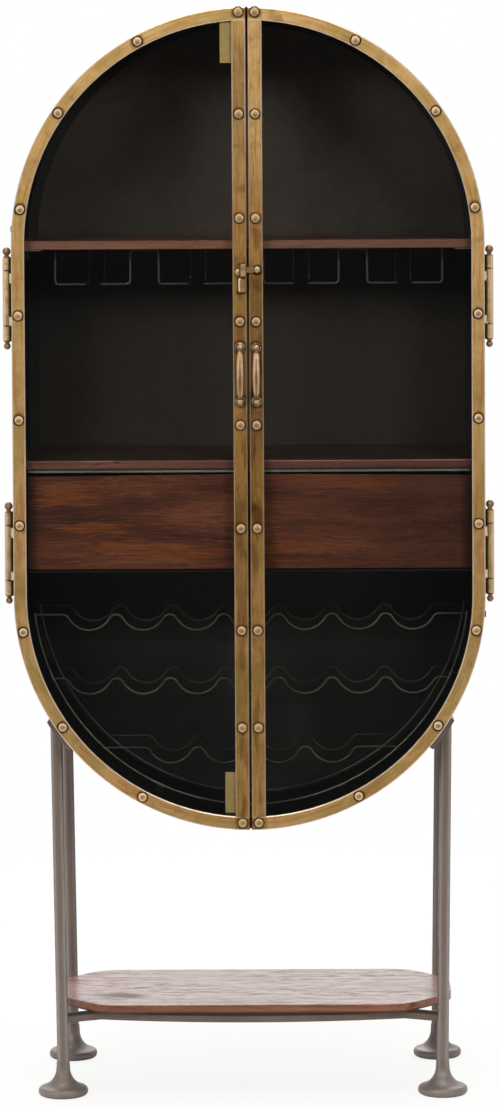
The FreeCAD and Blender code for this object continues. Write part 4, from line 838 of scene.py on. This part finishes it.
# ------------------------------------------------------------------ floor
def floor():
    bm = bmesh.new()
    rings, seg = 20, 96
    rmax = 4.0
    rows = []
    centre = bm.verts.new((0, 0, 0))
    for i in range(1, rings + 1):
        r = rmax * (i / rings) ** 1.5
        rows.append([bm.verts.new((r * math.cos(2 * math.pi * k / seg), r * math.sin(2 * math.pi * k / seg), 0)) for k in range(seg)])
    for k in range(seg):
        bm.faces.new((centre, rows[0][k], rows[0][(k + 1) % seg]))
    for a, b in zip(rows, rows[1:]):
        for k in range(seg):
            bm.faces.new((a[k], b[k], b[(k + 1) % seg], a[(k + 1) % seg]))
    me = bpy.data.meshes.new("studio_floor")
    bm.to_mesh(me)
    bm.free()
    o = bpy.data.objects.new("studio_floor", me)
    scene.collection.objects.link(o)
    g = G("studio_floor")
    p = g.obj()
    x, y, z = g.xyz(p)
    r = g.m("SQRT", g.m("ADD", g.m("MULTIPLY", x, x), g.m("MULTIPLY", y, y)))
    dif = g.n("ShaderNodeBsdfDiffuse")
    dif.inputs["Color"].default_value = (0.88, 0.875, 0.865, 1)
    clear = g.n("ShaderNodeBsdfTransparent")
    glow = g.n("ShaderNodeEmission")
    glow.inputs["Color"].default_value = (1.0, 1.0, 0.99, 1)
    seen = g.n("ShaderNodeLightPath")
    lit = g.n("ShaderNodeMixShader")
    g.put(lit.inputs[0], g.m("MULTIPLY", seen.outputs["Is Camera Ray"], 0.86))
    g.nt.links.new(dif.outputs[0], lit.inputs[1])
    g.nt.links.new(glow.outputs[0], lit.inputs[2])
    mixer = g.n("ShaderNodeMixShader")
    g.put(mixer.inputs[0], g.rng(r, 0.95, 2.3, 0.0, 1.0))
    g.nt.links.new(lit.outputs[0], mixer.inputs[1])
    g.nt.links.new(clear.outputs[0], mixer.inputs[2])
    g.nt.links.new(mixer.outputs[0], g.out.inputs["Surface"])
    o.data.materials.append(g.mat)
    return o


floor()

# ------------------------------------------------------------------ light
def softbox(name, loc, target, w, h, power, col=(1, 1, 1)):
    d = bpy.data.lights.new(name, "AREA")
    d.shape = "RECTANGLE"
    d.size, d.size_y = w, h
    d.energy = power
    d.color = col
    o = bpy.data.objects.new(name, d)
    scene.collection.objects.link(o)
    o.location = loc
    o.rotation_euler = (Vector(target) - Vector(loc)).to_track_quat("-Z", "Y").to_euler()
    return o


softbox("key_left", (-2.0, -5.3, 2.95), (0, 0, 1.1), 1.6, 0.9, 78)
softbox("key_right", (2.0, -5.3, 2.95), (0, 0, 1.1), 1.6, 0.9, 72)
softbox("soft_left", (-3.4, -2.7, 1.8), (0, 0, 1.0), 1.9, 2.8, 34)
softbox("soft_right", (3.4, -2.7, 1.8), (0, 0, 1.0), 1.9, 2.8, 26)
softbox("soft_top", (0.0, -0.6, 4.2), (0, 0, 0.8), 2.4, 1.8, 85)
softbox("soft_back", (0.0, 3.4, 2.6), (0, 0, 0.9), 3.0, 1.6, 70)

world = bpy.data.worlds.new("studio")
scene.world = world
world.use_nodes = True
wt = world.node_tree
wt.nodes.clear()
wo = wt.nodes.new("ShaderNodeOutputWorld")
bg = wt.nodes.new("ShaderNodeBackground")
plain = wt.nodes.new("ShaderNodeBackground")
plain.inputs["Color"].default_value = (1.0, 1.0, 1.0, 1)
plain.inputs["Strength"].default_value = 1.0
tc = wt.nodes.new("ShaderNodeTexCoord")
sep = wt.nodes.new("ShaderNodeSeparateXYZ")
wt.links.new(tc.outputs["Generated"], sep.inputs[0])
rampn = wt.nodes.new("ShaderNodeValToRGB")
mr = wt.nodes.new("ShaderNodeMapRange")
for k, v in (("From Min", -1.0), ("From Max", 1.0), ("To Min", 0.0), ("To Max", 1.0)):
    mr.inputs[k].default_value = v
wt.links.new(sep.outputs[1], mr.inputs["Value"])
wt.links.new(mr.outputs["Result"], rampn.inputs[0])
el = rampn.color_ramp.elements
el[0].position, el[0].color = 0.0, (0.05, 0.05, 0.05, 1)
el[1].position, el[1].color = 1.0, (1.0, 1.0, 1.0, 1)
for pos, v in ((0.06, 0.07), (0.16, 0.12), (0.35, 0.36), (0.6, 0.75)):
    e = el.new(pos)
    e.color = (v, v, v, 1)
wt.links.new(rampn.outputs[0], bg.inputs["Color"])
bg.inputs["Strength"].default_value = 1.0
lp = wt.nodes.new("ShaderNodeLightPath")
mx = wt.nodes.new("ShaderNodeMixShader")
wt.links.new(lp.outputs["Is Camera Ray"], mx.inputs[0])
wt.links.new(bg.outputs[0], mx.inputs[1])
wt.links.new(plain.outputs[0], mx.inputs[2])
wt.links.new(mx.outputs[0], wo.inputs["Surface"])

scene.view_settings.view_transform = "Standard"

# ------------------------------------------------------------------ camera
CAM = dict(loc=(0.098, -6.377, 1.493), yaw=0.39, pitch=2.39, roll=-0.31, f=3914.0, sx=-0.03, sy=-0.20)


def camera():
    d = bpy.data.cameras.new("camera")
    o = bpy.data.objects.new("camera", d)
    scene.collection.objects.link(o)
    yaw, pitch, roll = (math.radians(CAM[k]) for k in ("yaw", "pitch", "roll"))
    f = Vector((-math.sin(yaw) * math.cos(pitch), math.cos(yaw) * math.cos(pitch), -math.sin(pitch)))
    r0 = Vector((math.cos(yaw), math.sin(yaw), 0.0))
    u0 = r0.cross(f)
    r = r0 * math.cos(roll) + u0 * math.sin(roll)
    u = -r0 * math.sin(roll) + u0 * math.cos(roll)
    m = Matrix((r, u, -f)).transposed().to_4x4()
    m.translation = Vector(CAM["loc"])
    o.matrix_world = m
    d.sensor_width = 36.0
    d.lens = CAM["f"] / 1107.0 * 36.0
    d.shift_x, d.shift_y = CAM["sx"], CAM["sy"]
    d.clip_start, d.clip_end = 0.1, 60.0
    scene.camera = o


camera()
